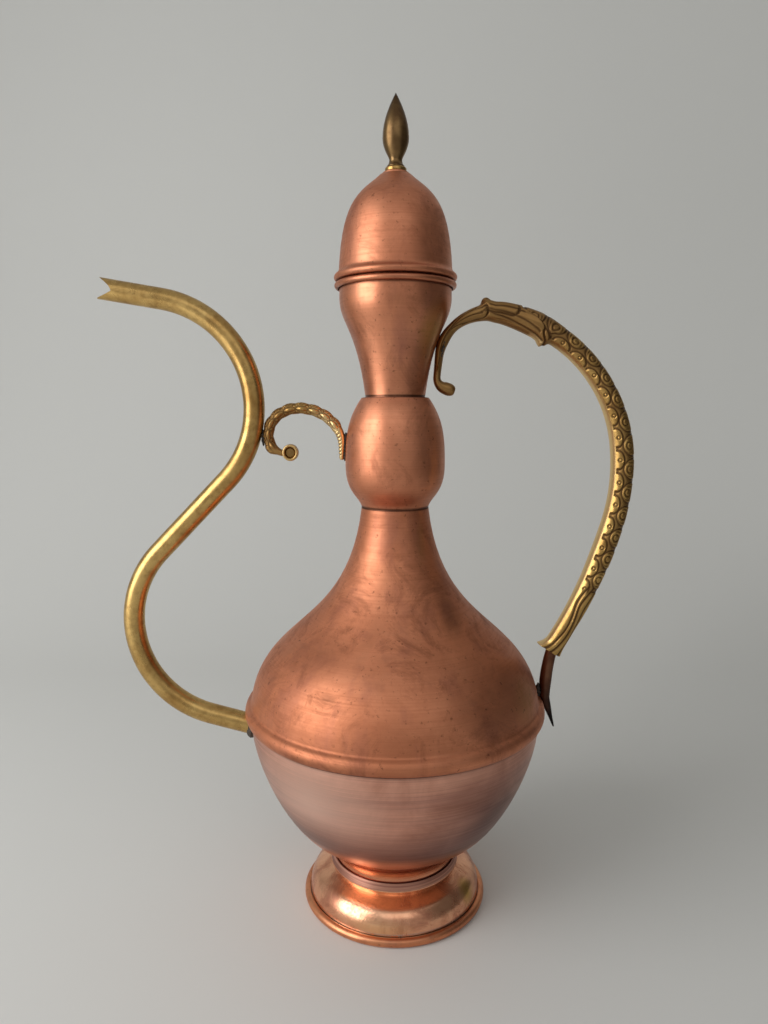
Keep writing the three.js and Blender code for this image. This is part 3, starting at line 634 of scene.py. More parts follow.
skirtMarks = {
    "collar": (0.0302, 0.0312),
    "lipFrom": (0.0282, 0.0286),
    "lipTo": (0.0302, 0.0308),
    "crimp": (0.0078, 0.0088),
}
skirt = Finish("footCopper")
skirtLevel = skirt.part("Z")
skirtRings = skirt.noise(1, 5, 0.6, along=skirt.stretched(9, 9, 700))
skirtClouds = skirt.noise(34, 6, 0.66, 0.7)
skirtGrain = skirt.noise(520, 4, 0.6)
skirtColour = skirt.mix(skirt.range(skirtClouds, 0.38, 0.66), (0.96, 0.52, 0.32), (0.68, 0.3, 0.17))
skirtColour = skirt.mix(skirt.range(skirtClouds, 0.52, 0.66, 0, 0.55), skirtColour, (0.34, 0.13, 0.09))
skirtUneven = skirt.range(skirtClouds, 0.3, 0.5, 0.4, 1)
yellowStain = skirt.both(skirt.spot((55, -30, 17), (9, 12, 12), 0.7), skirtUneven)
skirtColour = skirt.mix(skirt.both(yellowStain, 0.75), skirtColour, (0.5, 0.33, 0.04))
goldStain = skirt.both(skirt.spot((-12, -64, 11), (30, 14, 8), 0.8), 0.4)
skirtColour = skirt.mix(goldStain, skirtColour, (0.8, 0.46, 0.17))
pitted = skirt.both(skirt.spot((-22, -54, 20), (24, 18, 10), 0.7), skirt.range(skirtGrain, 0.5, 0.62))
skirtColour = skirt.mix(skirt.both(pitted, 0.5), skirtColour, (0.3, 0.12, 0.07))
collarBand = skirt.range(skirtLevel, *skirtMarks["collar"])
collarColour = skirt.mix(skirt.range(skirtRings, 0.4, 0.6), (0.62, 0.32, 0.23), (0.34, 0.15, 0.11))
skirtColour = skirt.mix(collarBand, skirtColour, collarColour)
lipEnd = skirt.range(skirtLevel, *skirtMarks["lipTo"], 1, 0)
lipLine = skirt.both(skirt.range(skirtLevel, *skirtMarks["lipFrom"]), lipEnd)
skirtColour = skirt.mix(skirt.both(lipLine, 0.7), skirtColour, (0.92, 0.5, 0.3))
crimpBreaks = skirt.range(skirt.noise(90, 5, 0.7), 0.44, 0.52)
crimp = skirt.both(skirt.range(skirtLevel, *skirtMarks["crimp"], 1, 0), crimpBreaks)
skirtColour = skirt.mix(crimp, skirtColour, (0.6, 0.56, 0.52))
skirt.bump((skirtRings, 0.25, 0.05), (pitted, 0.3, 0.2))
skirtSatin = skirt.maths("ADD", skirt.range(skirtClouds, 0.4, 0.7, 0.2, 0.34), skirt.both(collarBand, 0.15))
footCopper = skirt.set(skirtColour, skirtSatin)


# Brass

brass = Finish("drawnBrass")
brassLines = brass.noise(60, 5, 0.6, 0.5)
brassClouds = brass.noise(24, 6, 0.6, 0.6)
brassMottle = brass.noise(150, 5, 0.65)
brassColour = brass.mix(brass.range(brassClouds, 0.4, 0.7), (0.62, 0.41, 0.15), (0.42, 0.24, 0.075))
brassColour = brass.mix(brass.range(brassMottle, 0.46, 0.66, 0, 0.45), brassColour, (0.24, 0.12, 0.035))
brass.bump((brassMottle, 0.12, 0.1))
drawnBrass = brass.set(brassColour, brass.range(brassLines, 0.3, 0.7, 0.22, 0.38))

cast = Finish("castBrass")
castClouds = cast.noise(70, 6, 0.62, 0.3)
castAgeAndShade, castPolishAndHighlight, castRecess = cast.stored("ageAndShade"), cast.stored("polishAndHighlight"), cast.stored("recess")
castColour = cast.mix(cast.range(castClouds, 0.35, 0.7), (0.56, 0.35, 0.115), (0.36, 0.2, 0.06))
# Darkened by tarnish, and by painted shade on the handle's upper part
castColour = cast.mix(cast.range(castAgeAndShade, 0, 1, 0, 0.8), castColour, (0.27, 0.145, 0.055))
# A pale tone: painted highlight on the handle's inner edge, and brighter parts of the brace and its eye
castColour = cast.mix(cast.range(castPolishAndHighlight, 0, 1, 0, 0.85), castColour, (0.86, 0.62, 0.3))
castColour = cast.mix(cast.range(castRecess, 0, 0.9), castColour, (0.095, 0.047, 0.02))
cast.bump((castClouds, 0.15, 0.3))
castSatin = cast.maths("ADD", cast.range(castAgeAndShade, 0, 1, 0.31, 0.42), cast.range(castRecess, 0, 1, 0, 0.24))
castBrass = cast.set(castColour, castSatin)

bud = Finish("antiqueBrass")
budClouds = bud.noise(90, 6, 0.6, 0.3)
budTip = bud.range(bud.part("Z"), 0.594, 0.611, 0, 0.75)
budColour = bud.mix(bud.range(budClouds, 0.35, 0.7), (0.25, 0.155, 0.065), (0.13, 0.072, 0.033))
budColour = bud.mix(budTip, budColour, (0.05, 0.025, 0.015))
antiqueBrass = bud.set(budColour, bud.range(budClouds, 0.3, 0.7, 0.24, 0.38))


# Solder, iron and steel

joint = Finish("blackSolder", 0.4)
jointGrain = joint.noise(260, 5, 0.6)
joint.bump((jointGrain, 0.5, 0.3))
jointColour = joint.mix(joint.range(jointGrain, 0.4, 0.7), (0.03, 0.025, 0.022), (0.09, 0.07, 0.055))
blackSolder = joint.set(jointColour, joint.range(jointGrain, 0.3, 0.7, 0.45, 0.75))

iron = Finish("strapMetal")
ironGrain = iron.noise(90, 6, 0.6)
ironFoot = iron.range(iron.part("Z"), 0.15, 0.19, 1, 0)
ironColour = iron.mix(iron.range(ironGrain, 0.35, 0.7), (0.2, 0.09, 0.05), (0.1, 0.04, 0.025))
ironColour = iron.mix(ironFoot, ironColour, (0.015, 0.012, 0.012))
strapMetal = iron.set(ironColour, iron.range(ironGrain, 0.3, 0.7, 0.28, 0.5))

steel = Finish("fixingSteel")
steelGrain = steel.noise(180, 4, 0.6)
steelColour = steel.mix(steelGrain, (0.42, 0.42, 0.41), (0.28, 0.27, 0.26))
fixingSteel = steel.set(steelColour, steel.range(steelGrain, 0.3, 0.7, 0.3, 0.5))


def place(piece, body, node, slot, material):
    piece.data.materials.clear()
    piece.data.materials.append(material)
    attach(piece, body)
    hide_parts(node)
    print("made", piece.name, len(piece.data.polygons))


# Foot

footSizes = {
    "plate": 69.6, "roll": 3.4, "rollEnd": 105,
    "flange": 70.5, "flangeLevel": 2.5, "root": 68.3, "rootLevel": 6.8,
    "shoulder": (59, 24), "ledge": (53, 27), "underLip": (50.6, 28), "lip": (51.4, 30.2),
    "collar": (49.5, 36),
}
rollRadius = footSizes["roll"]
plateSkin = Outline(0, 0).line(footSizes["plate"], 0)
plateSkin.bend((footSizes["plate"], rollRadius), rollRadius, rollRadius, -90, footSizes["rollEnd"])
basePlate = turned("basePlate", plateSkin, 1)
place(basePlate, "vessel", "base_plate", "body_copper", rollCopper)

skirtSkin = Outline(footSizes["flange"], footSizes["flangeLevel"])
skirtSkin.line(footSizes["root"], footSizes["flangeLevel"]).line(footSizes["root"], footSizes["rootLevel"])
skirtSkin.sweep(90, 8, *footSizes["shoulder"], 157, 6)
for corner in ("ledge", "underLip", "lip", "collar"):
    skirtSkin.line(*footSizes[corner])
footSkirt = turned("footSkirt", skirtSkin, 1)
place(footSkirt, "vessel", "foot_skirt", "body_copper", footCopper)


# Body. The spout's root lies in the bowl's wall, so the spout's sizes come first

spoutSizes = {
    "root": (-107.701, 138.6), "heading": 165.2, "radius": 8, "wall": 1.1, "holeRun": (12, 16),
    "holeRadius": 8.3, "rootRun": 40.1, "lowerBend": (79.2, -119.2), "middleRun": 77.6,
    "upperBend": (80.6, 124.4), "beakRun": 46.8, "notch": 11.5, "solder": (-111.4, 139.6),
}
bowlSizes = {
    "base": 31.5, "stem": 48.2, "stemTop": 38, "root": (70, 61.5), "rootSlope": 36.6,
    "seam": (111.8, 153.7), "seamSlope": 99.7, "top": 158.5,
}
bowlSkin = Outline(0, bowlSizes["base"]).line(bowlSizes["stem"], bowlSizes["base"])
bowlSkin.line(bowlSizes["stem"], bowlSizes["stemTop"])
bowlSkin.sweep(90, 10, *bowlSizes["root"], bowlSizes["rootSlope"], 12)
bowlSkin.sweep(bowlSizes["rootSlope"], 30.3, *bowlSizes["seam"], bowlSizes["seamSlope"], 18.3)
bowlSkin.line(bowlSizes["seam"][0], bowlSizes["top"])
bowlShell = turned("bowlShell", bowlSkin, 1, resolution=16)
spoutHole = rod(*spoutSizes["root"], spoutSizes["heading"], *spoutSizes["holeRun"], spoutSizes["holeRadius"])
cutAway(bowlShell, spoutHole)
smooth(bowlShell)
place(bowlShell, "vessel", "bowl", "body_copper", bowlCopper)

shoulderSizes = {
    "edge": (113.1, 153.7), "bead": (111.5, 160), "beadProud": 5.5, "beadHalf": 6.3, "beadTurn": (-62, 58),
    "beadTop": (112, 168.5), "neck": (25.6, 316.7), "spigot": 24.3, "spigotTop": 322,
}
shoulderSkin = Outline(*shoulderSizes["edge"])
shoulderSkin.bend(
    shoulderSizes["bead"], shoulderSizes["beadProud"], shoulderSizes["beadHalf"], *shoulderSizes["beadTurn"]
)
shoulderSkin.sweep(142, 1.4, *shoulderSizes["beadTop"], 97, 2).sweep(98, 60, *shoulderSizes["neck"], 96.4, 96)
shoulderSkin.line(shoulderSizes["spigot"], shoulderSizes["neck"][1])
shoulderSkin.line(shoulderSizes["spigot"], shoulderSizes["spigotTop"])
shoulderShell = turned("shoulderShell", shoulderSkin, 1, resolution=24)
place(shoulderShell, "vessel", "shoulder", "body_copper", shoulderCopper)

bulbSizes = {"foot": (25.6, 317), "belly": (37.8, 349), "top": (25.4, 399), "seat": (22.8, 399.4)}
bulbSkin = Outline(*bulbSizes["foot"]).sweep(73.4, 8.7, *bulbSizes["belly"], 90, 21.5)
bulbSkin.sweep(90, 21.5, *bulbSizes["top"], 125, 18.8).line(*bulbSizes["seat"])
neckBulb = turned("neckBulb", bulbSkin, 1, resolution=16)
place(neckBulb, "vessel", "neck_bulb", "body_copper", bulbCopper)

funnelSizes = {
    "plug": (22.5, 394), "foot": (22.5, 400), "mouth": (41.4, 474.6), "rim": (41.4, 480.2),
    "roll": (42.7, 480.2), "rollRadius": 1.3, "rollTurn": (180, -95),
}
funnelSkin = Outline(*funnelSizes["plug"]).line(*funnelSizes["foot"])
funnelSkin.sweep(82.7, 54.3, *funnelSizes["mouth"], 93.6, 21.6).line(*funnelSizes["rim"])
rimRadius = funnelSizes["rollRadius"]
funnelSkin.bend(funnelSizes["roll"], rimRadius, rimRadius, *funnelSizes["rollTurn"])
neckFunnel = turned("neckFunnel", funnelSkin, 1, resolution=16)
place(neckFunnel, "vessel", "neck_funnel", "body_copper", funnelCopper)


# Lid

domeSizes = {
    "edge": (42.1, 482.9), "bead": (41.5, 486), "beadProud": 3.8, "beadHalf": 3.1, "beadTurn": (-78, 50),
    "beadTop": (41.6, 492.4), "crown": (11.9, 557.5),
    "boss": [(10.1, 558), (9.7, 559.2), (8.8, 559.7), (2.3, 559.7)],
}
domeSkin = Outline(*domeSizes["edge"])
domeSkin.bend(domeSizes["bead"], domeSizes["beadProud"], domeSizes["beadHalf"], *domeSizes["beadTurn"])
domeSkin.sweep(148, 1.6, *domeSizes["beadTop"], 93, 1.8).sweep(93, 51, *domeSizes["crown"], 136.2, 17.8)
for corner in domeSizes["boss"]:
    domeSkin.line(*corner)
lidDome = turned("lidDome", domeSkin, 1, resolution=16)
place(lidDome, "lid", "lid_dome", "body_copper", lidCopper)

sleeveSizes = {"foot": (39.6, 470.8), "top": (40.1, 490.8)}
lidSleeve = turned("lidSleeve", Outline(*sleeveSizes["foot"]).line(*sleeveSizes["top"]), 1)
place(lidSleeve, "lid", "lid_sleeve", "body_copper", copper)

collarSizes = {
    "bore": 2.3, "foot": 560.0, "edge": 7.4, "edgeRadius": 0.5, "belly": (7.9, 561.6), "top": (6.7, 563.1),
}
edgeRadius = collarSizes["edgeRadius"]
collarSkin = Outline(collarSizes["bore"], collarSizes["foot"]).line(collarSizes["edge"], collarSizes["foot"])
collarSkin.bend((collarSizes["edge"], collarSizes["foot"] + edgeRadius), edgeRadius, edgeRadius, -90, 0)
collarSkin.line(*collarSizes["belly"]).sweep(90, 0.8, *collarSizes["top"], 180, 0.8)
collarSkin.line(collarSizes["bore"], collarSizes["top"][1]).line(collarSizes["bore"], collarSizes["foot"])
collarRing = turned("collarRing", collarSkin, 0, 96)
place(collarRing, "lid", "finial_collar", "spout_brass", drawnBrass)

finialSizes = {
    "socketTop": 573.2, "bore": 2.3, "base": 563.4, "foot": 6.6, "footEdge": (6.5, 564),
    "waist": (4.7, 568.6), "belly": (9.6, 583.4), "tip": 614.2,
}
finialSkin = Outline(0, finialSizes["socketTop"]).line(finialSizes["bore"], finialSizes["socketTop"])
finialSkin.line(finialSizes["bore"], finialSizes["base"]).line(finialSizes["foot"], finialSizes["base"])
finialSkin.line(*finialSizes["footEdge"]).sweep(140, 1.6, *finialSizes["waist"], 90, 2)
finialSkin.sweep(80, 2.5, *finialSizes["belly"], 90, 7.2).sweep(90, 12, 0, finialSizes["tip"], 118, 9)
budFinial = turned("budFinial", finialSkin, 0, 96)
place(budFinial, "lid", "finial", "cast_brass", antiqueBrass)


# Spout

spoutRoute = Route(*spoutSizes["root"], spoutSizes["heading"])
spoutRoute.straight(spoutSizes["rootRun"]).turn(*spoutSizes["lowerBend"])
spoutRoute.straight(spoutSizes["middleRun"]).turn(*spoutSizes["upperBend"]).straight(spoutSizes["beakRun"])
spoutLine = spoutRoute.curve("spoutTube", 20)
spoutLine.data.bevel_depth = spoutSizes["radius"] * mm
spoutLine.data.bevel_resolution = 14
spoutTube = asMesh(spoutLine)
tubeWall = spoutTube.modifiers.new("wall", "SOLIDIFY")
tubeWall.thickness = spoutSizes["wall"] * mm
tubeWall.offset = -1
applyAll(spoutTube)
faceOutward(spoutTube)

beakEnd = spoutRoute.knots[-1][0]
beakAlong, beakUp = heading(spoutRoute.facing), heading(spoutRoute.facing - 90)


def beak(ahead, above):
    return tuple(beakEnd[i] + ahead * beakAlong[i] + above * beakUp[i] for i in (0, 1))


jaw = Outline(*beak(4, 12)).line(*beak(0, 7.6))
jaw.arch(beak(-spoutSizes["notch"], 2.4), *beak(-spoutSizes["notch"], -1.2))
jaw.arch(beak(-6.9, -4.8), *beak(0, -7.6)).line(*beak(4, -12)).line(*beak(4, 12))
cutAway(spoutTube, slab("jaw", jaw, 12))
smooth(spoutTube, 50)
place(spoutTube, "vessel", "spout_tube", "spout_brass", drawnBrass)


# Handle. A station is run, inner, outer and full width. Reach is the way round from the inner side

handleStations = [
    (0, 12.7, 8.8, 15.5), (0.7, 12.5, 8.9, 15.7), (3, 10.2, 8.2, 15), (7, 8.1, 7.5, 14.5),
    (23, 7.8, 7.2, 14.5), (42, 7.9, 7.9, 15.5), (65, 8.1, 8.2, 16.5), (85, 8.7, 8.9, 17),
    (135, 8.5, 8.5, 17), (166, 8.8, 8.7, 17), (218, 8.2, 7.6, 16.5), (265, 8.2, 7.6, 16),
    (273.4, 8.3, 8.1, 16), (276, 12.1, 8.4, 17), (286, 9.7, 8.9, 17), (302, 9, 8.4, 15),
    (320.6, 7.4, 7.5, 14), (326.6, 6.1, 10.3, 13.5), (329.6, 5.8, 6, 12.5), (341.5, 4.6, 4.6, 11),
    (353.5, 3.7, 3.7, 10), (366.4, 4.2, 4.2, 10), (377.4, 3.2, 3.2, 9.5), (389.3, 2.8, 2.8, 9),
    (393, 2.8, 2.7, 8.6), (396.5, 3, 2.9, 8.6), (400, 3.9, 3.7, 8.8), (403.5, 4.7, 4.6, 9.2),
    (407, 4.9, 4.9, 9.4), (409.8, 4.3, 4.3, 8.4), (411.4, 3.1, 3.1, 6), (412, 1.6, 1.6, 3),
]
castHandle = straightBar("castHandle", steadyStations(handleStations, 4.2), 14, 3)

# The grip's scales: a row of arches on the outside and a row of low ones inside, with ringed eyes

grip = {
    "radius": 8, "start": 52, "first": 50, "pitch": 17.3, "lag": 0.4, "lineWide": 1.9, "end": 25.4,
    "outerRow": 19.2, "outerRadius": 7.5, "outerEye": 16.9, "outerRings": (2.6, 5.2),
    "innerRow": 7.2, "innerHalf": 7.6, "innerHigh": 5.2, "innerEye": 9.3, "innerRing": 1.3,
    "groundDeep": 0.55, "lineDeep": 0.85,
}
hood = {"start": 277, "sideStep": 5, "backStep": 20, "end": 331, "beak": 278, "knob": 327}
run, reach = runAndReach(castHandle, handleStations, grip["radius"])
beat = beatOf(run, grip["first"], grip["pitch"])
offbeat = beatOf(run, grip["first"] + grip["lag"] * grip["pitch"], grip["pitch"])
outerArch = np.hypot(beat, np.minimum(reach - grip["outerRow"], 0))
innerHeight = np.maximum(reach - grip["innerRow"], 0)
innerArch = np.hypot(offbeat / grip["innerHalf"], innerHeight / grip["innerHigh"])
outerEye = np.hypot(beat, reach - grip["outerEye"])
innerEye = np.hypot(offbeat, reach - grip["innerEye"])
hoodEdge = hood["start"] + hood["sideStep"] * rise(reach - 5, 6) + hood["backStep"] * rise(reach - 12, 9)
onGrip = rise(run - grip["start"], 5) * rise(hoodEdge - run, 1.5)
ground = rise(outerArch - grip["outerRadius"], 1) * rise(innerArch - 1, 0.2) * (reach > grip["innerRow"])
line = groove(np.abs(outerArch - grip["outerRadius"]), grip["lineWide"])
innerLine = groove(np.abs(innerArch - 1) * 5.4, grip["lineWide"])
line = np.maximum(line, innerLine * (reach > grip["innerRow"] - 0.5))
line = np.maximum(line, 0.85 * groove(np.abs(outerEye - grip["outerRings"][0]), 1.5))
line = np.maximum(line, 0.6 * groove(np.abs(outerEye - grip["outerRings"][1]), 1.2) * (reach < 19))
line = np.maximum(line, 0.8 * groove(np.abs(innerEye - grip["innerRing"]), 1.2))
sunk = onGrip * (grip["groundDeep"] * ground + grip["lineDeep"] * line) * rise(grip["end"] - reach, 3)
dark = onGrip * np.maximum(0.15 * ground, line)

# The leaf at the lower end, drawn as lines of run and reach

leafMarks = {"end": 64, "lineWide": 2.9, "lineDeep": 0.85}
leafLines = [
    [(60, 12), (52, 9.5), (44, 8.5), (34, 11), (22, 12.5), (10, 10), (-2, 7.5)],
    [(60, 16), (50, 13), (42, 12), (32, 14.5), (20, 16.5), (9, 14.5), (-2, 12)],
    [(62, 21), (50, 18), (40, 17), (28, 19.5), (14, 21), (-2, 18)],
]
for knots in leafLines:
    line = groove(awayFrom(run, reach, rounded(knots)), leafMarks["lineWide"])
    line = line * rise(leafMarks["end"] - run, 4)
    sunk = np.maximum(sunk, leafMarks["lineDeep"] * line)
    dark = np.maximum(dark, line)

# The sheath above the hood's edge, with two leaves, ridges, a beak inside and a knob outside

hoodLine = groove(np.abs(run - hoodEdge + 0.6), 2.2)
sheath = rise(run - hoodEdge, 1.2) * rise(hood["end"] - run, 3)
raised = 0.7 * sheath * rise(318 - run, 40)
sheathMarks = {"lineWide": 1.8, "lineDeep": 0.6, "lineDark": 0.9, "leafHigh": 0.9, "edgeDeep": 0.7}
sheathLines = [
    [(279, 5), (290, 6), (304, 8), (318, 9.5), (328, 12)],
    [(284, 9), (296, 11.5), (310, 13), (322, 13.5), (331, 13)],
    [(300, 17), (312, 17.5), (324, 17)],
    [(333, 4), (345, 7), (356, 12)],
    [(330, 12), (342, 13), (356, 12.5), (368, 13)],
    [(334, 20), (346, 17), (360, 14), (384, 13)],
]
for knots in sheathLines:
    line = groove(awayFrom(run, reach, rounded(knots)), sheathMarks["lineWide"])
    sunk = np.maximum(sunk, sheathMarks["lineDeep"] * line)
    dark = np.maximum(dark, sheathMarks["lineDark"] * line)
for tip, middle, half in ((326, 12, 5.5), (304, 17, 5)):
    leaf = np.hypot(np.minimum(run - tip - half, 0), reach - middle)
    body = rise(half - leaf, 1.2) * rise(tip + 30 - run, 20) * (run > tip - 1)
    raised = np.maximum(raised, sheathMarks["leafHigh"] * body)
    edge = groove(np.abs(leaf - half - 0.5), 1.8) * (run < tip + 22)
    sunk = np.maximum(sunk, sheathMarks["edgeDeep"] * edge)
    dark = np.maximum(dark, edge)
ribs = 0.5 + 0.5 * np.cos(reach * 2 * math.pi / 2.6)
raised += 0.18 * ribs * rise(run - 282, 8) * rise(325 - run, 5)
sunk = np.maximum(sunk, 0.9 * hoodLine * (run < hoodEdge + 1))
dark = np.maximum(dark, hoodLine)
raised += 1.5 * rise(5 - reach, 4) * rise(1 - np.abs(run - hood["beak"]) / 6, 1)
raised += 1.5 * rise(reach - 20, 4) * rise(1 - np.abs(run - hood["knob"]) / 4, 1)
strip = rise(run - 340, 10) * rise(392 - run, 6)
raised += 0.7 * strip * groove(np.abs(reach - 12.6), 3)

keepDepths(castHandle, "recess", np.clip(dark, 0, 1))
# Painted shade darkens the handle towards its upper end; the sunken ground between the scales is darkened as
# tarnish
tarnishAndShade = rise(run - 258, 26) + 0.55 * onGrip * ground + 0.35 * rise(run - 190, 60)
keepDepths(castHandle, "ageAndShade", np.clip(tarnishAndShade, 0, 1))
# Painted highlight along the handle's inner edge below the hood, and on the inner side by the beak
innerHighlight = rise(6.6 - reach, 1.8) * rise(276 - run, 24)
keepDepths(castHandle, "polishAndHighlight", innerHighlight + 0.7 * rise(6 - reach, 2) * rise(8 - np.abs(run - 284), 3))
emboss(castHandle, raised - sunk)

# The handle's bends, as radius and degrees

handleBends = {
    "start": (122.16, 202.192, 58.6), "foot": 3, "back": [(387.6, 16), (157.6, 19.6), (114, 72.1)],
    "top": 2.5, "crown": [(46, 40), (34, 58)], "neck": 15, "curl": (8, 78),
}
handleRoute = Route(*handleBends["start"]).straight(handleBends["foot"])
for bendSizes in handleBends["back"]:
    handleRoute.turn(*bendSizes)
handleRoute.straight(handleBends["top"])
for bendSizes in handleBends["crown"]:
    handleRoute.turn(*bendSizes)
handleRoute.straight(handleBends["neck"]).turn(*handleBends["curl"])
bendAlong(castHandle, handleRoute)
smooth(castHandle, 60)
place(castHandle, "vessel", "handle", "cast_brass", castBrass)

strapStations = [
    (0, 0.6, 0.6, 1.6), (9, 1.5, 1.5, 4), (18, 2.9, 2.9, 6.8), (27.4, 4.0, 4.3, 7.6), (41, 4.8, 4.8, 8),
    (60, 4.5, 4.5, 8), (74, 4, 4, 7.6),
]
strapBends = {
    "start": (126.832, 139.383, 107.7), "foot": 24, "kink": (14, -17.7), "rise": 1.5,
    "lean": (142, -15), "tip": 7,
}
handleStrap = straightBar("handleStrap", steadyStations(strapStations, 5), 16, 2)
strapRoute = Route(*strapBends["start"]).straight(strapBends["foot"]).turn(*strapBends["kink"])
strapRoute.straight(strapBends["rise"]).turn(*strapBends["lean"]).straight(strapBends["tip"])
bendAlong(handleStrap, strapRoute)
smooth(handleStrap)
place(handleStrap, "vessel", "handle_tang", "dark_strap", strapMetal)


# Brace: beads along the middle, rings on both sides of them and fine strokes on the ground

braceStations = [
    (0, 1.3, 0.9, 3.4), (0.6, 2, 1.3, 5), (4, 2.5, 1.6, 6.4), (10, 2.9, 2.1, 7.2), (15, 3.2, 2.7, 7.8),
    (20, 3.5, 3.3, 8.3), (28, 3.9, 3.7, 8.5), (88, 3.9, 3.9, 8.5), (98, 3.3, 3.9, 8.2), (105, 2.6, 3.2, 7.6),
    (111.9, 2.2, 2.4, 6.6), (112.4, 1.6, 1.8, 5),
]
scroll = {
    "radius": 4, "start": 22, "end": 107, "first": 27.5, "pitch": 9.4, "middle": 6.1,
    "beadLong": 3.5, "beadWide": 1.8, "outerRow": 8.6, "outerRings": (1.9, 0.5), "innerRow": 3.2,
    "innerRing": 1.6, "strokePitch": 2.35, "strokeLean": 0.9, "notchPitch": 2.7, "notchEnd": 24,
    "lineDeep": 0.6,
}
scrollBrace = straightBar("scrollBrace", steadyStations(braceStations, 2.6), 16, 3)
run, reach = runAndReach(scrollBrace, braceStations, scroll["radius"])
beat = beatOf(run, scroll["first"], scroll["pitch"])
offbeat = beatOf(run, scroll["first"] + scroll["pitch"] / 2, scroll["pitch"])
onScroll = rise(run - scroll["start"], 4) * rise(scroll["end"] - run, 5)
bead = np.hypot(beat / scroll["beadLong"], (reach - scroll["middle"]) / scroll["beadWide"])
outerEye = np.hypot(offbeat, reach - scroll["outerRow"])
innerEye = np.hypot(offbeat + 0.8, reach - scroll["innerRow"])
stroke = np.mod(run + scroll["strokeLean"] * reach, scroll["strokePitch"])
line = 0.75 * groove(np.abs(bead - 1.3) * 2.2, 1.3)
line = np.maximum(line, 0.8 * groove(np.abs(outerEye - scroll["outerRings"][0]), 1.1))
line = np.maximum(line, 0.7 * groove(np.abs(innerEye - scroll["innerRing"]), 1.1))
line = np.maximum(line, 0.6 * groove(np.abs(outerEye - scroll["outerRings"][1]), 0.9))
line = np.maximum(line, 0.55 * groove(np.abs(stroke - 1.17), 0.9) * (bead > 1.8))
notches = groove(np.abs(np.mod(run, scroll["notchPitch"]) - scroll["notchPitch"] / 2), 1.5)
notches = notches * rise(scroll["notchEnd"] - run, 3) * rise(run - 2.5, 1) * rise(7.5 - reach, 2)
line = np.maximum(onScroll * line, notches)
swell = run * math.pi / scroll["pitch"]
raised = 0.75 * onScroll * rise(1 - bead, 0.7)
raised += 0.75 * onScroll * np.abs(np.cos(swell)) * rise(reach - 9.6, 2.4)
raised += 0.35 * onScroll * np.abs(np.sin(swell)) * rise(2.6 - reach, 2)
raised += 1.7 * rise(1 - np.abs(run - 102.5) / 6.5, 0.8) * rise(reach - 7, 4)
keepDepths(scrollBrace, "recess", np.clip(0.8 * line + 0.1 * onScroll * (bead > 1), 0, 1))
# The brace darkens from its middle towards the curled end
keepDepths(scrollBrace, "ageAndShade", 0.15 + 0.6 * rise(run - 46, 40))
# The brace is brighter towards its foot
keepDepths(scrollBrace, "polishAndHighlight", rise(56 - run, 24) * (1 - 0.6 * rise(reach - 8, 3)))
emboss(scrollBrace, raised - scroll["lineDeep"] * line)

# The brace's arcs, as centre, half width, half height, first and last degrees

braceArcs = {
    "foot": (-40.302, 352.2), "spring": (-40.252, 363.2), "arch": ((-72.902, 363.2), 32.65, 28, 0, 90),
    "fall": ((-72.902, 371.7), 23.162, 19.5, 90, 180), "curl": ((-81.064, 371.7), 15, 15, 180, 255),
}
braceRoute = Outline(*braceArcs["foot"]).line(*braceArcs["spring"])
for part in ("arch", "fall", "curl"):
    braceRoute.bend(*braceArcs[part])
bendAlong(scrollBrace, braceRoute)

eyeSizes = {
    "half": 2.5, "dish": (3, 2.4), "step": (3.5, 1.9), "crest": (4.9, 3.9), "edge": (6, 2.4),
    "place": (-79.67, 357.79), "stretch": 1.06,
}


def under(corner):
    return corner[0], -corner[1]


eyeSkin = Outline(0, eyeSizes["half"]).line(*eyeSizes["dish"]).line(*eyeSizes["step"])
eyeSkin.sweep(70, 1.4, *eyeSizes["crest"], 0, 0.7).sweep(0, 0.9, *eyeSizes["edge"], -90, 0.9)
eyeSkin.line(*under(eyeSizes["edge"])).sweep(-90, 0.9, *under(eyeSizes["crest"]), 180, 0.9)
eyeSkin.sweep(180, 0.7, *under(eyeSizes["step"]), 110, 1.4)
eyeSkin.line(*under(eyeSizes["dish"])).line(0, -eyeSizes["half"])
braceEye = turned("braceEye", eyeSkin, 0, 64, 6)
eyeAcross, eyeDeep, eyeUp = barPlaces(braceEye).T
eyeRadius = np.hypot(eyeAcross, eyeDeep)
keepDepths(braceEye, "recess", rise(4.1 - eyeRadius, 0.8) * 0.5)
keepDepths(braceEye, "ageAndShade", np.full(len(eyeRadius), 0.4))
keepDepths(braceEye, "polishAndHighlight", 0.5 * rise(eyeRadius - 4.2, 0.6) * rise(np.abs(eyeUp) - 2.6, 0.6))
pick(braceEye)
braceEye.rotation_euler = (math.radians(90), 0, 0)
braceEye.scale = (1, eyeSizes["stretch"], 1)
braceEye.location = (eyeSizes["place"][0] * mm, 0, eyeSizes["place"][1] * mm)
settle(braceEye)
smooth(scrollBrace, 60)
scrollBrace = join([scrollBrace, braceEye], "scrollBrace")
smooth(scrollBrace, 60)
place(scrollBrace, "vessel", "spout_brace", "cast_brass", castBrass)


# Solder, as it sets: lumpy fillets drawn out along each joint


def solderRun(name, node, sizes):
    stations = sizes["stations"]
    fillet = straightBar(name, steadyStations(stations, 1.2), 12, 3)
    x, y, z = barPlaces(fillet).T
    lumps = 0.16 * np.sin(1.9 * x + 1.3 * y) + 0.14 * np.sin(2.7 * y + 1.1 * x + 2)
    lumps = lumps + 0.1 * np.sin(3.9 * z - 2.3 * x)
    thick = np.interp(x, [station[0] for station in stations], [station[1] for station in stations])
    emboss(fillet, lumps * np.clip(thick, 0.3, 1.2))
    bendAlong(fillet, Route(*sizes["start"]).straight(sizes["straight"]).turn(*sizes["turn"]))
    smooth(fillet, 60)
    place(fillet, "vessel", node, "solder", blackSolder)


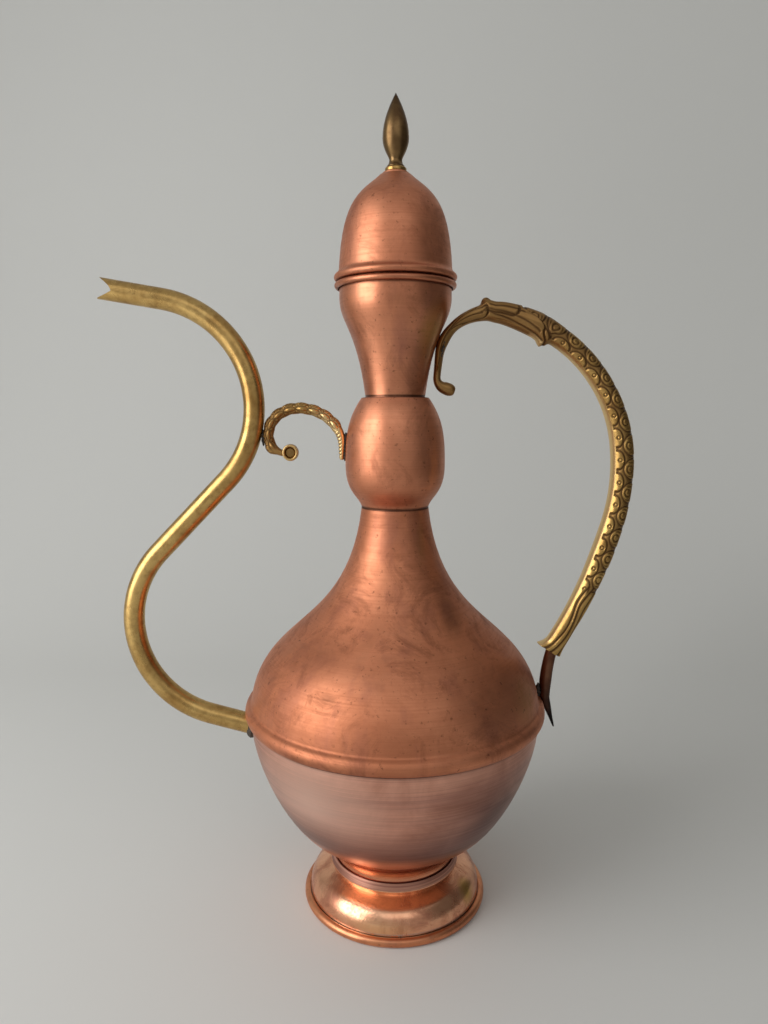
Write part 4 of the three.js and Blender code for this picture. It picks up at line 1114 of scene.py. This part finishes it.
neckJoint = {
    "stations": [
        (0, 0.3, 0.3, 1.4), (3, 1, 1, 7), (12, 1.4, 1.4, 11.4), (21, 1, 1, 8.5), (25, 0.3, 0.3, 1.4),
    ],
    "start": (32.6, 422.8, 78.5), "straight": 12, "turn": (200, -3),
}
solderRun("neckSolder", "handle_neck_solder", neckJoint)

bulbJoint = {
    "stations": [
        (0, 0.3, 0.3, 1.4), (3, 1, 0.9, 4.4), (10, 1.2, 1.2, 5.6), (17, 1.7, 1.6, 5), (22, 0.5, 0.5, 2),
    ],
    "start": (-38.3, 351.2, 89.5), "straight": 9, "turn": (90, -9),
}
solderRun("bulbSolder", "brace_bulb_solder", bulbJoint)

tubeJoint = {
    "stations": [(0, 0.3, 0.3, 1), (3, 1.1, 1.1, 4), (6.5, 1.6, 1.5, 5), (10, 1, 1, 3.6), (13, 0.3, 0.3, 1)],
    "start": (-100.2, 362.6, 89.5), "straight": 7, "turn": (60, 4),
}
solderRun("tubeSolder", "brace_spout_solder", tubeJoint)

strapJoint = {
    "stations": [
        (0, 0.5, 0.5, 2), (3, 2.1, 2, 5.6), (7, 2.5, 2.3, 6.6), (10.5, 1.3, 1.3, 4), (13, 0.4, 0.4, 1.4),
    ],
    "start": (113.6, 163.4, 89.5), "straight": 7, "turn": (60, 5),
}
solderRun("shoulderSolder", "handle_shoulder_solder", strapJoint)

ringSizes = {
    "bore": 8.05, "back": -2, "backEdge": 9.2, "belly": (10.8, 1.2), "tip": (8.3, 4.6), "front": 4.8,
}
ringSkin = Outline(ringSizes["bore"], ringSizes["back"]).line(ringSizes["backEdge"], ringSizes["back"])
ringSkin.line(*ringSizes["belly"]).sweep(110, 1.6, *ringSizes["tip"], 160, 0.8)
ringSkin.line(ringSizes["bore"], ringSizes["front"]).line(ringSizes["bore"], ringSizes["back"])
rootSolder = turned("rootSolder", ringSkin, 0, 72, 5)
x, y, z = barPlaces(rootSolder).T
aroundRing = np.arctan2(y, x)
emboss(rootSolder, 0.18 * np.sin(5 * aroundRing) + 0.14 * np.sin(11 * aroundRing + z) + 0.12)
pick(rootSolder)
rootSolder.rotation_euler = (0, math.radians(90 - spoutSizes["heading"]), 0)
rootSolder.location = (spoutSizes["solder"][0] * mm, 0, spoutSizes["solder"][1] * mm)
settle(rootSolder)
smooth(rootSolder, 60)
place(rootSolder, "vessel", "spout_root_solder", "solder", blackSolder)

for name in ("neck_rim_wire", "finial_stud", "finial_washer", "finial_nut"):
    fixing = bpy.data.objects[name]
    fixing.data.materials.clear()
    fixing.data.materials.append(fixingSteel)


# Floor and light

studio = {"front": -2600, "bend": 500, "radius": 900, "top": 3200, "half": 3.2}
sweepLine = Outline(studio["front"], 0).line(studio["bend"], 0)
sweepLine.bend((studio["bend"], studio["radius"]), studio["radius"], studio["radius"], -90, 0)
sweepLine.line(studio["bend"] + studio["radius"], studio["top"])
sweep = asMesh(sweepLine.curve("studioSweep", 24))
enterEdit(sweep)
selectAll()
bpy.ops.transform.translate(value=(0, studio["half"], 0))
bpy.ops.mesh.extrude_region_move(TRANSFORM_OT_translate={"value": (0, -2 * studio["half"], 0)})
leaveEdit()
sweep.rotation_euler = (0, 0, math.radians(90))
settle(sweep)
smooth(sweep, 60)


def matt(name, colour, roughness):
    paint = bpy.data.materials.new(name)
    paint.use_nodes = True
    surface = paint.node_tree.nodes["Principled BSDF"]
    surface.inputs["Base Color"].default_value = (*colour, 1)
    surface.inputs["Roughness"].default_value = roughness
    return paint


sweep.data.materials.append(matt("palePaint", (0.7, 0.7, 0.68), 0.85))

roomTone, roomStrength = (0.62, 0.62, 0.6, 1), 0.66
world = bpy.data.worlds.new("paleRoom")
bpy.context.scene.world = world
world.use_nodes = True
air = world.node_tree.nodes["Background"]
air.inputs["Color"].default_value = roomTone
air.inputs["Strength"].default_value = roomStrength


def lamp(name, place, towards, size, power):
    deselectAll()
    bpy.ops.object.light_add(type="AREA", location=place)
    light = bpy.context.object
    light.name = name
    light.data.shape = "RECTANGLE"
    light.data.size, light.data.size_y = size
    light.data.energy = power
    light.rotation_euler = (Vector(towards) - Vector(place)).to_track_quat("-Z", "Y").to_euler()


middleOfBody = (0, 0, 0.3)
lamp("windowLight", (-1.3, -0.75, 0.8), middleOfBody, (1.1, 1.5), 19)
lamp("fillLight", (0.2, -1.7, 1.6), middleOfBody, (1.6, 1.0), 3)

# A grey flag for the dim side of the room, out of the camera's sight

flagSizes = {"side": 1.5, "place": (0.95, -0.15, 0.6), "tone": (0.14, 0.13, 0.12)}
bpy.ops.mesh.primitive_plane_add(
    size=flagSizes["side"], location=flagSizes["place"], rotation=(0, math.radians(-90), 0)
)
flag = bpy.context.object
flag.name = "studioFlag"
flag.data.materials.append(matt("greyPaint", flagSizes["tone"], 0.9))
flag.visible_camera = False

bpy.context.scene.view_settings.view_transform = "Standard"
